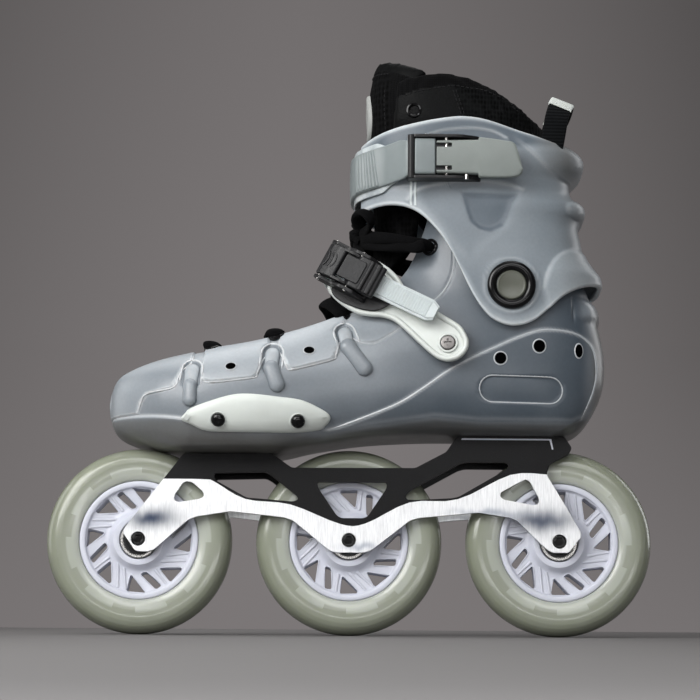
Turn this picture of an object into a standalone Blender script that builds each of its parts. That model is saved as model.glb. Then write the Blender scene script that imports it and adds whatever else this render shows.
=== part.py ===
# Inline skate: three 110 mm wheels on an aluminium frame, hard boot shell with a pivoting cuff,
# soft liner, lace, ratchet strap over the instep and lever buckle at the cuff.
# Frame of the part: +Z up, toe towards -X, outer (buckle) side towards -Y,
# origin on the ground under the middle axle, in the wheels' mid plane.
# All dimensions below are in millimetres; MM turns them into metres.

import math

import bmesh
import bpy
from mathutils import Matrix, Vector
from mathutils.bvhtree import BVHTree

MM = 0.001

# ---------------------------------------------------------------- driving dimensions
WHEEL_R = 55.0            # tyre radius
TYRE_HALF_W = 12.0        # half width of a tyre
CORE_R = 35.2             # radius of the cast core
AXLE_PITCH = 124.0        # distance between neighbouring axles
BEARING_R = 10.85         # 608 bearing, 22 mm outside
BEARING_BORE_R = 4.15
BEARING_IN = 5.1          # inner face of a bearing from the mid plane
BEARING_W = 7.0
AXLE_R = 3.85
PLATE_OUT = 17.5          # outer face of a frame side plate
PLATE_IN = 14.5           # inner face of a frame side plate
FRONT_DECK_Z = 106.0      # top of the frame's front mounting deck
REAR_DECK_Z = 117.5       # top of the rear mounting deck
BOLT_FRONT_X = -70.0
BOLT_REAR_X = 95.0
SHELL_T = 3.0             # wall of the boot shell
CUFF_T = 3.0              # wall of the cuff
PIVOT = (94.3, 202.5)     # cuff pivot axis, x and z
PIVOT_HEAD_R = 14.3
GAP = 0.4                 # clearance between pieces that touch

AXLES = (("front", -AXLE_PITCH), ("mid", 0.0), ("rear", AXLE_PITCH))

# ---------------------------------------------------------------- scene and materials
for o in list(bpy.data.objects):
    bpy.data.objects.remove(o, do_unlink=True)

MATERIALS = {
    "urethane": ((0.62, 0.66, 0.52, 1), 0.35, 0.0),
    "core": ((0.80, 0.81, 0.88, 1), 0.4, 0.0),
    "steel": ((0.62, 0.62, 0.63, 1), 0.3, 1.0),
    "black_screw": ((0.03, 0.03, 0.03, 1), 0.35, 0.6),
    "alu": ((0.55, 0.56, 0.58, 1), 0.32, 1.0),
    "shell": ((0.45, 0.50, 0.56, 1), 0.4, 0.0),
    "cuff": ((0.55, 0.60, 0.65, 1), 0.4, 0.0),
    "pale": ((0.72, 0.76, 0.72, 1), 0.4, 0.0),
    "black_plastic": ((0.03, 0.03, 0.033, 1), 0.35, 0.0),
    "cap": ((0.19, 0.20, 0.16, 1), 0.35, 0.0),
    "liner": ((0.025, 0.025, 0.027, 1), 0.8, 0.0),
    "webbing": ((0.02, 0.02, 0.02, 1), 0.85, 0.0),
    "insole": ((0.10, 0.10, 0.11, 1), 0.9, 0.0),
}
MATS = {}
for mname, (mcol, mrough, mmetal) in MATERIALS.items():
    m = bpy.data.materials.new(mname)
    m.use_nodes = True
    b = m.node_tree.nodes["Principled BSDF"]
    b.inputs["Base Color"].default_value = mcol
    b.inputs["Roughness"].default_value = mrough
    b.inputs["Metallic"].default_value = mmetal
    MATS[mname] = m


# ---------------------------------------------------------------- mesh helpers
def new_object(name, bm, mat, origin=(0, 0, 0), smooth=None):
    """Puts a bmesh in millimetres into a named object in metres, with its origin at the given point."""
    bmesh.ops.remove_doubles(bm, verts=bm.verts, dist=0.01)
    bmesh.ops.recalc_face_normals(bm, faces=bm.faces)
    bmesh.ops.transform(bm, matrix=Matrix.Scale(MM, 4) @ Matrix.Translation(-Vector(origin)), verts=bm.verts)
    me = bpy.data.meshes.new(name)
    bm.to_mesh(me)
    bm.free()
    ob = bpy.data.objects.new(name, me)
    ob.location = Vector(origin) * MM
    bpy.context.scene.collection.objects.link(ob)
    me.materials.append(MATS[mat])
    if smooth is not None:
        me.shade_smooth()
        me.set_sharp_from_angle(angle=math.radians(smooth))
    return ob


def boolean(ob, cutter, op="DIFFERENCE"):
    """Applies one exact Boolean and removes the other object."""
    bpy.context.view_layer.update()
    mod = ob.modifiers.new("bool", "BOOLEAN")
    mod.object = cutter
    mod.operation = op
    mod.solver = "EXACT"
    dg = bpy.context.evaluated_depsgraph_get()
    me = bpy.data.meshes.new_from_object(ob.evaluated_get(dg))
    ob.modifiers.clear()
    old = ob.data
    ob.data = me
    me.name = ob.name
    bpy.data.meshes.remove(old)
    bpy.data.objects.remove(cutter, do_unlink=True)
    return ob


def prism(name, outer, place, a, b, mat, holes=(), origin=(0, 0, 0), smooth=None):
    """Extrudes a flat outline with holes. place(u, v, w) gives the point at outline (u, v) and depth w."""
    bm = bmesh.new()
    edges = []
    for loop in (outer,) + tuple(holes):
        vs = [bm.verts.new(place(u, v, a)) for u, v in loop]
        for i in range(len(vs)):
            edges.append(bm.edges.new((vs[i], vs[(i + 1) % len(vs)])))
    bmesh.ops.triangle_fill(bm, use_beauty=True, use_dissolve=False, edges=edges)
    faces = list(bm.faces)
    ext = bmesh.ops.extrude_face_region(bm, geom=faces, use_keep_orig=True)
    top = [g for g in ext["geom"] if isinstance(g, bmesh.types.BMVert)]
    shift = Vector(place(0, 0, b)) - Vector(place(0, 0, a))
    bmesh.ops.translate(bm, vec=shift, verts=top)
    return new_object(name, bm, mat, origin, smooth)


def along_y(u, v, w):
    return (u, w, v)


def circle(cx, cy, r, n, start=0.0):
    return [(cx + r * math.cos(start + 2 * math.pi * i / n), cy + r * math.sin(start + 2 * math.pi * i / n)) for i in range(n)]


def turned(name, profile, centre, axis, n, mat, closed, origin=None, smooth=40.0, start=0.0):
    """Turns a profile of (radius, height) about an axis through centre. closed: a ring, else it runs from axis to axis."""
    axis = Vector(axis).normalized()
    side = axis.orthogonal().normalized() if abs(axis.y) < 0.99 else Vector((1, 0, 0))
    other = axis.cross(side)
    c = Vector(centre)
    bm = bmesh.new()
    rings = []
    for r, h in profile:
        if r < 1e-6:
            rings.append([bm.verts.new(c + axis * h)])
        else:
            rings.append([bm.verts.new(c + axis * h + side * (r * math.cos(start + 2 * math.pi * i / n)) + other * (r * math.sin(start + 2 * math.pi * i / n))) for i in range(n)])
    pairs = list(zip(rings, rings[1:]))
    if closed:
        pairs.append((rings[-1], rings[0]))
    for a, b in pairs:
        for i in range(n):
            j = (i + 1) % n
            vs = [a[i % len(a)], a[j % len(a)], b[j % len(b)], b[i % len(b)]]
            uniq = []
            for v in vs:
                if v not in uniq:
                    uniq.append(v)
            if len(uniq) >= 3:
                bm.faces.new(uniq)
    return new_object(name, bm, mat, centre if origin is None else origin, smooth)


def skin(name, rings, mat, cyclic=False, origin=(0, 0, 0), smooth=None):
    """Joins closed rings of equal count into one solid with capped ends."""
    bm = bmesh.new()
    vr = [[bm.verts.new(p) for p in ring] for ring in rings]
    n = len(vr[0])
    for a, b in zip(vr, vr[1:]):
        for i in range(n):
            j = (i + 1) % n
            bm.faces.new((a[i], a[j], b[j], b[i]))
    bm.faces.new(vr[0])
    bm.faces.new(list(reversed(vr[-1])))
    return new_object(name, bm, mat, origin, smooth)


def smooth_path(points, n):
    """Reads n points from a Catmull-Rom curve through the given ones."""
    pts = [Vector(p) for p in points]
    pts = [pts[0] * 2 - pts[1]] + pts + [pts[-1] * 2 - pts[-2]]
    out = []
    spans = len(pts) - 3
    for k in range(n):
        t = k / (n - 1) * spans
        i = min(int(t), spans - 1)
        f = t - i
        p0, p1, p2, p3 = pts[i : i + 4]
        out.append(0.5 * (2 * p1 + (p2 - p0) * f + (2 * p0 - 5 * p1 + 4 * p2 - p3) * f * f + (3 * p1 - p0 - 3 * p2 + p3) * f ** 3))
    return out


def ribbon(name, points, n, wide, width, thick, mat, smooth=30):
    """A flat strap along a path: wide(k) is the direction of its width, width(k) and thick(k) its section."""
    pts = smooth_path(points, n)
    rings = []
    for k, p in enumerate(pts):
        t = (pts[min(k + 1, n - 1)] - pts[max(k - 1, 0)]).normalized()
        w = Vector(wide(k / (n - 1)))
        w = (w - t * w.dot(t)).normalized()
        u = t.cross(w).normalized()
        hw, ht = width(k / (n - 1)) / 2, thick(k / (n - 1)) / 2
        rings.append([p + w * hw + u * ht, p - w * hw + u * ht, p - w * hw - u * ht, p + w * hw - u * ht])
    return skin(name, rings, mat, smooth=smooth)


def table(rows, key):
    """Piecewise linear reading of a table of (key, value) rows."""
    if key <= rows[0][0]:
        return rows[0][1]
    for (a, va), (b, vb) in zip(rows, rows[1:]):
        if key <= b:
            f = (key - a) / (b - a)
            return va + (vb - va) * f
    return rows[-1][1]


# ---------------------------------------------------------------- wheels, axles, bearings
def wheel(name, x):
    c = (x, 0.0, WHEEL_R)
    n = 32
    flat = WHEEL_R / math.cos(math.pi / n)
    w = TYRE_HALF_W
    profile = [(CORE_R + 0.5, -w + 1.5), (47.5, -w), (53.0, -w + 3.6), (flat, -3.0), (flat, 3.0), (53.0, w - 3.6), (47.5, w), (CORE_R + 0.5, w - 1.5)]
    turned("tyre_" + name, profile, c, (0, -1, 0), n, "urethane", True, start=math.pi / n, smooth=35)
    base = {"front": 108.0, "mid": 61.0, "rear": 112.5}[name]
    hub = turned(
        "core_" + name,
        [(11.15, -10), (CORE_R, -10), (CORE_R, 10), (11.15, 10), (11.15, 4.8), (9.4, 4.8), (9.4, -4.8), (11.15, -4.8)],
        c, (0, -1, 0), 24, "core", True, smooth=35, start=math.radians(base - 3.0),
    )
    # four groups of a slanted slot between two rounded triangles
    for g in range(4):
        a0 = math.radians(base + 90 * g)
        for da, shape in ((-23.5, "tri"), (0.0, "slot"), (22.0, "tri2")):
            am = a0 + math.radians(da)
            if shape == "slot":
                pts = [(19.0, -14), (22.0, -15.5), (31.0, 6), (30.0, 10.0), (27.5, 10.5), (19.5, -3.5)]
            elif shape == "tri":
                pts = [(20.5, -7), (30.0, -8.5), (31.0, 3), (28.5, 7.5)]
            else:
                pts = [(19.5, -3), (22.0, -8), (31.0, 5), (29.5, 9.0)]
            outline = [(x + r * math.cos(am + math.radians(d)), WHEEL_R + r * math.sin(am + math.radians(d))) for r, d in pts]
            cutter = prism("cut", outline, along_y, -14, 14, "core")
            boolean(hub, cutter)
    for side, s in (("outer", -1), ("inner", 1)):
        y0 = s * (BEARING_IN + BEARING_W / 2)
        turned("bearing_%s_%s" % (name, side),
               [(BEARING_BORE_R, -3.5), (BEARING_R, -3.5), (BEARING_R, 3.5), (BEARING_BORE_R, 3.5)],
               (x, y0, WHEEL_R), (0, -1, 0), 16, "steel", True)
    turned("spacer_" + name, [(BEARING_BORE_R, -4.7), (6.2, -4.7), (6.2, 4.7), (BEARING_BORE_R, 4.7)], c, (0, -1, 0), 12, "steel", True)
    # axle bolt with a hexagon socket in its outer end
    ax = turned("axle_" + name, [(0, -17.2), (3.3, -17.2), (AXLE_R, -16.6), (AXLE_R, 17.2), (0, 17.2)], c, (0, -1, 0), 14, "black_screw", False)
    socket = prism("cut", circle(x, WHEEL_R, 2.5, 6), along_y, -20, -12.5, "steel")
    boolean(ax, socket)


for wname, wx in AXLES:
    wheel(wname, wx)

# ---------------------------------------------------------------- frame
Z0 = WHEEL_R
PLATE = [(-98, 105.7), (-45.6, FRONT_DECK_Z), (-34, 97.7), (39, 98), (57.2, 107.7), (63.8, REAR_DECK_Z), (126.9, REAR_DECK_Z),
         (131.5, 110.5), (129.5, 106.8), (118.3, 100.8), (116.4, 94.5), (128.6, 74.4), (136.6, 60.2), (136.2, 57.3), (130, 49.2), (128.5, 48.4),
         (120, 48.4), (116.1, 50.7), (99, 67.2), (95, 68.9), (76.5, 71.8), (41, 68.4), (36, 66.9), (13.5, 49.3), (8.5, 47.7), (-7.8, 47.7), (-11.5, 49),
         (-33, 66.5), (-38, 68.2), (-69.8, 71.6), (-90, 68.4), (-95, 66.2), (-114.5, 48.8), (-118, 47.6), (-124.2, 47.6), (-126, 48.4), (-132.7, 58.2), (-132.3, 61),
         (-109.2, 91)]
WINDOWS = [
    [(-79, 94.2), (-49.5, 95), (-46, 93), (-30.8, 81), (-30, 78.8), (-33, 77.6), (-60.5, 79.8), (-78.6, 89.8), (-80, 92.5)],
    [(-18.8, 88.6), (-18, 89.3), (21.5, 89.3), (22.3, 88), (21.8, 85.4), (11.2, 69.3), (8.5, 68), (-4.5, 68), (-7.2, 69.5), (-18.2, 85.7)],
    [(33.2, 81.6), (36, 84.5), (65, 100.5), (69, 101.6), (92, 101.6), (94.2, 100.3), (93.2, 97.8), (64.5, 81), (60, 80.2), (39.1, 79), (34, 79.3)],
    [(-98, 88.4), (-96, 89.2), (-92.6, 88.8), (-86, 83), (-85.5, 80.2), (-88, 78.8), (-100.6, 76.7), (-103.2, 78), (-103, 81)],
    [(102.2, 91), (104, 91.8), (106.5, 90.6), (112, 80.5), (111.8, 77.2), (109, 76.4), (91, 79.6), (88.8, 81.6), (89.5, 84)],
]


def frame_plate(s):
    ob = prism("plate", PLATE, along_y, s * PLATE_OUT, s * PLATE_IN, "alu", holes=WINDOWS + [circle(x, Z0, 4.3, 12) for _, x in AXLES])
    return ob


frame = frame_plate(-1)
frame.name = "frame"
boolean(frame, frame_plate(1), "UNION")
# decks tie the plates together and carry the boot
front_deck = prism("deck", [(-88, 101.8), (-47.2, 101.8), (-47.2, FRONT_DECK_Z), (-88, FRONT_DECK_Z - 0.05)], along_y, -PLATE_OUT + 1, PLATE_OUT - 1, "alu")
boolean(frame, front_deck, "UNION")
rear_deck = prism("deck", [(65.5, 113), (126, 113), (126, REAR_DECK_Z - 0.05), (65.5, REAR_DECK_Z - 0.05)], along_y, -PLATE_OUT + 1, PLATE_OUT - 1, "alu")
boolean(frame, rear_deck, "UNION")
for s in (-1, 1):
    for _, x in AXLES:
        boss = turned("boss", [(4.3, 12.7), (7.6, 12.7), (7.6, 15.2), (4.3, 15.2)], (x, 0, Z0), (0, s, 0), 12, "alu", True)
        boolean(frame, boss, "UNION")
for bx, bz in ((BOLT_FRONT_X, FRONT_DECK_Z), (BOLT_REAR_X, REAR_DECK_Z)):
    boolean(frame, turned("cut", [(0, -9), (3.5, -9), (3.5, 5), (0, 5)], (bx, 0, bz), (0, 0, 1), 10, "alu", False))
frame.data.materials.clear()
frame.data.materials.append(MATS["alu"])


def mounting_bolt(name, x, deck, under, top):
    """Cap-head bolt from under the deck up into the sole."""
    ob = turned(name, [(0, top), (2.6, top), (3.1, top - 0.6), (3.1, under - 0.4), (6.3, under - 0.4), (6.3, under - 4.0), (5.8, under - 4.4), (0, under - 4.4)],
                (x, 0, 0), (0, 0, 1), 12, "black_screw", False, origin=(x, 0, deck))
    boolean(ob, prism("cut", circle(x, 0, 2.5, 6), lambda u, v, w: (u, v, w), under - 6, under - 2.2, "steel"))
    return ob


# ---------------------------------------------------------------- boot: sections on chords
# Every section of the boot is a ring on a chord from a top point T to a bottom point B in the mid plane.
# phi runs from 0 at T down the outer side to pi at B and back up the inner side; y = H sin(phi)^p.
def ring_point(T, B, H, phi, p_top, p_bottom, bulge=0.0):
    s = (1 - math.cos(phi)) / 2
    sp = math.sin(phi)
    p = p_top if math.cos(phi) > 0 else p_bottom
    y = H * math.copysign(abs(sp) ** p, sp) if abs(sp) > 1e-9 else 0.0
    x = T[0] + (B[0] - T[0]) * s
    z = T[1] + (B[1] - T[1]) * s + bulge * math.sin(math.pi * s)
    return Vector((x, -y, z))


def sway(x):
    """The sole bends a little towards the big toe."""
    f = max(0.0, min(1.0, (-x - 20.0) / 120.0))
    return 5.0 * f * f


# section table of the shell: T, B, half width, start angle in degrees, bottom exponent
SHELL = [
    ((-142.0, 136.0), (-142.0, 136.0), 0.0, 0, 0.7),
    ((-140.6, 144.0), (-140.8, 126.0), 13.0, 0, 0.6),
    ((-136.5, 151.5), (-137.0, 119.0), 23.0, 0, 0.5),
    ((-127.0, 156.8), (-128.0, 114.5), 33.0, 0, 0.45),
    ((-112.0, 161.8), (-113.0, 109.8), 42.0, 0, 0.42),
    ((-92.0, 166.2), (-98.0, 106.4), 48.0, 0, 0.38),
    ((-87.5, 167.1), (-90.0, 106.4), 49.2, 16, 0.36),
    ((-76.0, 169.6), (-76.0, 106.4), 50.4, 27, 0.36),
    ((-58.0, 173.4), (-58.0, 106.4), 50.8, 30, 0.36),
    ((-42.0, 178.0), (-44.0, 106.4), 49.8, 31, 0.36),
    ((-26.0, 183.4), (-18.0, 111.5), 47.8, 32, 0.38),
    ((-10.0, 190.3), (14.0, 116.2), 45.6, 33, 0.38),
    ((6.0, 198.6), (46.0, 118.0), 44.0, 34, 0.38),
    ((18.0, 207.2), (78.0, 118.0), 43.2, 35, 0.36),
    ((27.0, 216.3), (108.0, 118.0), 42.8, 36, 0.37),
    ((32.5, 224.8), (133.0, 119.5), 42.8, 37, 0.42),
    ((36.3, 233.5), (147.5, 138.0), 43.2, 38, 0.52),
    ((38.6, 240.0), (151.5, 160.0), 43.6, 39, 0.58),
    ((40.3, 245.0), (147.5, 184.0), 43.6, 40, 0.62),
    ((41.5, 249.0), (138.5, 210.0), 43.0, 41, 0.64),
    ((42.5, 253.0), (125.0, 236.5), 41.6, 42, 0.64),
]
P_TOP = 0.66
COLS = 16


def outward(bm):
    """Turns the faces so that they point away from the mid plane on the outer side."""
    bm.normal_update()
    if sum(f.normal.y * f.calc_area() for f in bm.faces if f.calc_center_median().y < -25) > 0:
        bmesh.ops.reverse_faces(bm, faces=bm.faces)
    bm.normal_update()


def boot_surface(rows, cols):
    """Open surface of rings with a slot along the top, in millimetres, and its grid of vertices."""
    bm = bmesh.new()
    grid = []
    for T, B, H, start, pb in rows:
        a0 = math.radians(start)
        row = []
        for j in range(cols + 1):
            phi = a0 + (2 * math.pi - 2 * a0) * j / cols
            p = ring_point(T, B, H, phi, P_TOP, pb)
            p.y += sway(p.x)
            row.append(p)
        closed = start == 0
        if H == 0.0:
            v = bm.verts.new(row[0])
            grid.append([v] * (cols + 1))
        else:
            vs = [bm.verts.new(p) for p in (row[:-1] if closed else row)]
            grid.append(vs + ([vs[0]] if closed else []))
    for a, b in zip(grid, grid[1:]):
        for j in range(cols):
            vs = []
            for v in (a[j], b[j], b[j + 1], a[j + 1]):
                if v not in vs:
                    vs.append(v)
            if len(vs) > 2:
                bm.faces.new(vs)
    outward(bm)
    return bm, grid


def thicken(bm, t):
    """Closed wall: the surface, its copy moved in along the vertex normals, and the rim between them."""
    bmesh.ops.triangulate(bm, faces=bm.faces, quad_method="FIXED")
    bm.normal_update()
    normals = {v.index: v.normal.copy() for v in bm.verts}
    bm.verts.ensure_lookup_table()
    outer = list(bm.verts)
    inner = {}
    for v in outer:
        inner[v] = bm.verts.new(v.co - v.normal * t)
    rim = [e for e in bm.edges if len(e.link_faces) == 1]
    for f in list(bm.faces):
        bm.faces.new([inner[v] for v in reversed(f.verts)])
    for e in rim:
        a, b = e.verts
        bm.faces.new((a, b, inner[b], inner[a]))
    return bm


def surface_tree(bm):
    return BVHTree.FromBMesh(bm)


shell_bm, shell_grid = boot_surface(SHELL, COLS)
shell_offset = {(i, j): (v.co.copy(), v.normal.copy()) for i, row in enumerate(shell_grid) for j, v in enumerate(row)}
shell_tree = surface_tree(shell_bm)


def side_y(tree, x, z, s=-1):
    """Outer surface at (x, z) on the outer (s=-1) or inner (s=1) side."""
    hit = tree.ray_cast(Vector((x, s * 120.0, z)), Vector((0, -s, 0)))
    return hit[0].y if hit[0] is not None else s * 40.0


thicken(shell_bm, SHELL_T)
shell = new_object("shell", shell_bm, "shell", smooth=40)
for bx, bz in ((BOLT_FRONT_X, 106.4), (BOLT_REAR_X, 118.0)):
    boolean(shell, turned("cut", [(0, -6), (3.7, -6), (3.7, 8), (0, 8)], (bx, 0, bz), (0, 0, 1), 12, "shell", False))
EYELETS = [(-80.0, 165.0), (-43.0, 172.5), (-5.0, 186.0), (44.5, 229.0)]
eyelet_sites = []
for i, (ex, ez) in enumerate(EYELETS):
    for s in (-1, 1):
        # a point on the flap beside the throat, and the surface normal there
        near = shell_tree.find_nearest(Vector((ex, s * (25.0 if i < 3 else 33.0) + sway(ex), ez)))
        loc, nor = near[0], near[1]
        eyelet_sites.append((i, s, loc.copy(), nor.copy()))
        boolean(shell, turned("cut", [(0, -7), (3.2, -7), (3.2, 7), (0, 7)], loc, nor, 8, "shell", False))
for s in (-1, 1):
    boolean(shell, turned("cut", [(0, 30), (5.2, 30), (5.2, 60), (0, 60)], (PIVOT[0], 0, PIVOT[1]), (0, s, 0), 16, "shell", False))
shell.data.materials.clear()
shell.data.materials.append(MATS["shell"])

mounting_bolt("mount_bolt_front", BOLT_FRONT_X, FRONT_DECK_Z, 101.8, 108.6)
mounting_bolt("mount_bolt_rear", BOLT_REAR_X, REAR_DECK_Z, 113.0, 120.2)

# ---------------------------------------------------------------- cuff
CUFF_BACK = [(176, 152), (205, 150), (213, 147.5), (225, 140.5), (240, 137), (258, 133.5), (275, 131.5), (288, 129), (303, 120)]
CUFF_FRONT = 3.5
CUFF_H = [(176, 49.2), (205, 50.0), (235, 49.0), (260, 48.2), (303, 48.2)]
CUFF_TOP = [(3, 289), (14, 293.5), (27, 297), (40, 299.4), (54, 301.5), (70, 303), (80, 302.3), (94, 298.5), (107, 293), (120, 290.5), (134, 288.5)]
CUFF_LOW = [(5, 251), (14.6, 252.9), (23.7, 253), (33, 251), (41, 246.6), (47.6, 240), (54, 232), (59.5, 222.6), (66, 209.5), (72.7, 196.4), (80.4, 186),
            (89.7, 180.6), (100, 180.2), (109, 184), (117, 191), (125, 198.5), (134, 203.6), (141, 207), (148, 211)]


def cuff_point(phi, z, off=0.0):
    xb, xf, h = table(CUFF_BACK, z) + off, CUFF_FRONT - off, table(CUFF_H, z) + off
    return ring_point((xf, z), (xb, z), h, phi, 0.62, 0.50)


def cuff_limits(phi):
    zb = 230.0
    for _ in range(12):
        zb = 0.5 * zb + 0.5 * table(CUFF_LOW, cuff_point(phi, zb).x)
    zt = table(CUFF_TOP, cuff_point(phi, 296).x)
    return zb, zt


CUFF_COLS, CUFF_ROWS = 26, 6
CUFF_OPEN = math.radians(15.0)
bm = bmesh.new()
grid = []
for j in range(CUFF_COLS + 1):
    phi = CUFF_OPEN + (2 * math.pi - 2 * CUFF_OPEN) * j / CUFF_COLS
    zb, zt = cuff_limits(phi)
    grid.append([bm.verts.new(cuff_point(phi, zb + (zt - zb) * i / CUFF_ROWS)) for i in range(CUFF_ROWS + 1)])
for a, b in zip(grid, grid[1:]):
    for i in range(CUFF_ROWS):
        bm.faces.new((a[i], a[i + 1], b[i + 1], b[i]))
outward(bm)
cuff_tree = surface_tree(bm)
thicken(bm, CUFF_T)
cuff = new_object("cuff", bm, "cuff", origin=(PIVOT[0], 0, PIVOT[1]), smooth=40)
for s in (-1, 1):
    boolean(cuff, turned("cut", [(0, 30), (5.2, 30), (5.2, 60), (0, 60)], (PIVOT[0], 0, PIVOT[1]), (0, s, 0), 16, "cuff", False))
cuff.data.materials.clear()
cuff.data.materials.append(MATS["cuff"])

# pivot bolts: broad round head outside the cuff, stem through cuff and shell
for label, s in (("outer", -1), ("inner", 1)):
    turned("cuff_pivot_" + label,
           [(0, 41.6), (4.7, 41.6), (4.7, 50.6), (PIVOT_HEAD_R, 50.6), (PIVOT_HEAD_R, 52.6), (13.4, 53.8), (10.0, 53.8), (9.9, 52.6), (0, 52.6)],
           (PIVOT[0], 0, PIVOT[1]), (0, s, 0), 18, "black_plastic", False, origin=(PIVOT[0], s * 50.6, PIVOT[1]))
    turned("pivot_cap_" + label, [(0, 53.0), (9.2, 53.0), (9.2, 53.5), (8.6, 53.9), (0, 53.9)],
           (PIVOT[0], 0, PIVOT[1]), (0, s, 0), 16, "cap", False, origin=(PIVOT[0], s * 53, PIVOT[1]))

# ---------------------------------------------------------------- liner, tongue, insole, pull loop
LINER_GAP = SHELL_T + 1.3
LEG = [(256, 34.0, 2, -3), (270, 27.0, 2, -3), (286, 23.5, 2, -3), (300, 23.0, 3, -6), (313, 25.5, 9, -8)]   # height, front edge, rise at the front and the back
LEG_BULGE = [0, 0, 0, 5, 16]
bm = bmesh.new()
grid = []
for i in range(len(SHELL)):
    row = []
    for j in range(COLS + 1):
        co, nor = shell_offset[(i, j)]
        row.append(co - nor * LINER_GAP)
    closed = SHELL[i][3] == 0
    if SHELL[i][2] == 0.0:
        v = bm.verts.new(row[0])
        grid.append([v] * (COLS + 1))
    else:
        vs = [bm.verts.new(p) for p in (row[:-1] if closed else row)]
        grid.append(vs + ([vs[0]] if closed else []))
for (z, front, zf, zb), bulge in zip(LEG, LEG_BULGE):
    xf, xb, h = CUFF_FRONT + 4.6, table(CUFF_BACK, min(z, 297)) - 4.9, table(CUFF_H, z) - 4.9
    a0 = math.acos(1 - 2 * (front - xf) / (xb - xf))
    grid.append([bm.verts.new(ring_point((xf, z + zf), (xb, z + zb), h, a0 + (2 * math.pi - 2 * a0) * j / COLS, 0.62, 0.55, bulge)) for j in range(COLS + 1)])
for a, b in zip(grid, grid[1:]):
    for j in range(COLS):
        vs = []
        for v in (a[j], b[j], b[j + 1], a[j + 1]):
            if v not in vs:
                vs.append(v)
        if len(vs) > 2:
            bm.faces.new(vs)
outward(bm)
thicken(bm, 5.0)
liner = new_object("liner", bm, "liner", smooth=50)

# insole: a thin shaped plate a little above the liner's floor
insole_outline = []
for k in range(24):
    a = 2 * math.pi * k / 24
    u = math.cos(a)
    x = 2.0 + 115.0 * u
    half = table([(-125, 20), (-105, 26), (-60, 30), (-10, 26), (40, 24), (90, 23), (128, 18)], x)
    insole_outline.append((x, half * math.copysign(abs(math.sin(a)) ** 0.6, math.sin(a))))


def sole_line(x):
    return table([(-130, 125.0), (-95, 120.5), (-46, 118.5), (0, 126.5), (48, 130.5), (125, 130.5)], x)


bm = bmesh.new()
lower = [bm.verts.new((x, y + sway(x), sole_line(x))) for x, y in insole_outline]
mid_low = []
upper = [bm.verts.new((x, y + sway(x), sole_line(x) + 3.0)) for x, y in insole_outline]
n = len(lower)
for i in range(n):
    j = (i + 1) % n
    bm.faces.new((lower[i], lower[j], upper[j], upper[i]))
for ringv in (lower, upper):
    # strips across the sole between mirrored outline points
    bm.faces.new((ringv[0], ringv[1], ringv[n - 1]))
    for i in range(1, n // 2 - 1):
        bm.faces.new((ringv[i], ringv[i + 1], ringv[n - i - 1], ringv[n - i]))
    bm.faces.new((ringv[n // 2 - 1], ringv[n // 2], ringv[n // 2 + 1]))
new_object("insole", bm, "insole", smooth=30)

TONGUE_PATH = [(-74, 0, 162.0), (-55, 0, 166.5), (-37, 0, 171.5), (-18, 0, 180.0), (-2, 0, 191.5), (9.5, 0, 206.0), (15.0, 0, 222.0), (16.5, 0, 242.0),
               (15.6, 0, 268.0), (14.2, 0, 298.0), (13.8, 0, 325.0), (17.0, 0, 340.0), (24.0, 0, 348.5)]
TONGUE_HALF = [(0.0, 12), (0.15, 19), (0.4, 21), (0.6, 24), (0.8, 27), (0.95, 26), (1.0, 21)]
pts = smooth_path(TONGUE_PATH, 20)
rings = []
for k, p in enumerate(pts):
    t = (pts[min(k + 1, 19)] - pts[max(k - 1, 0)]).normalized()
    out = Vector((-t.z, 0, t.x)).normalized()           # away from the foot
    half = table(TONGUE_HALF, k / 19)
    ring = []
    for f in (-1, -0.6, 0, 0.6, 1):
        ring.append(p + Vector((0, f * half + sway(p.x), 0)) + out * (3.5 - 5.5 * f * f))
    for f in (1, 0.6, 0, -0.6, -1):
        ring.append(p + Vector((0, f * half + sway(p.x), 0)) + out * (-3.0 - 3.5 * f * f))
    rings.append(ring)
skin("tongue", rings, "liner", smooth=50)

loop_dir = Vector((0.93, 0, -0.37)).normalized()
arch = [(120.5, -34.0, 298.0), (122.0, -32.0, 306.5), (124.5, -25.5, 315.0), (126.7, -13.5, 319.3), (127.2, 0, 320.3), (126.7, 13.5, 319.3), (124.5, 25.5, 315.0), (122.0, 32.0, 306.5), (120.5, 34.0, 298.0)]
ribbon("pull_loop", arch, 17, lambda f: loop_dir, lambda f: 14.0, lambda f: 2.6, "webbing")

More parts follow.
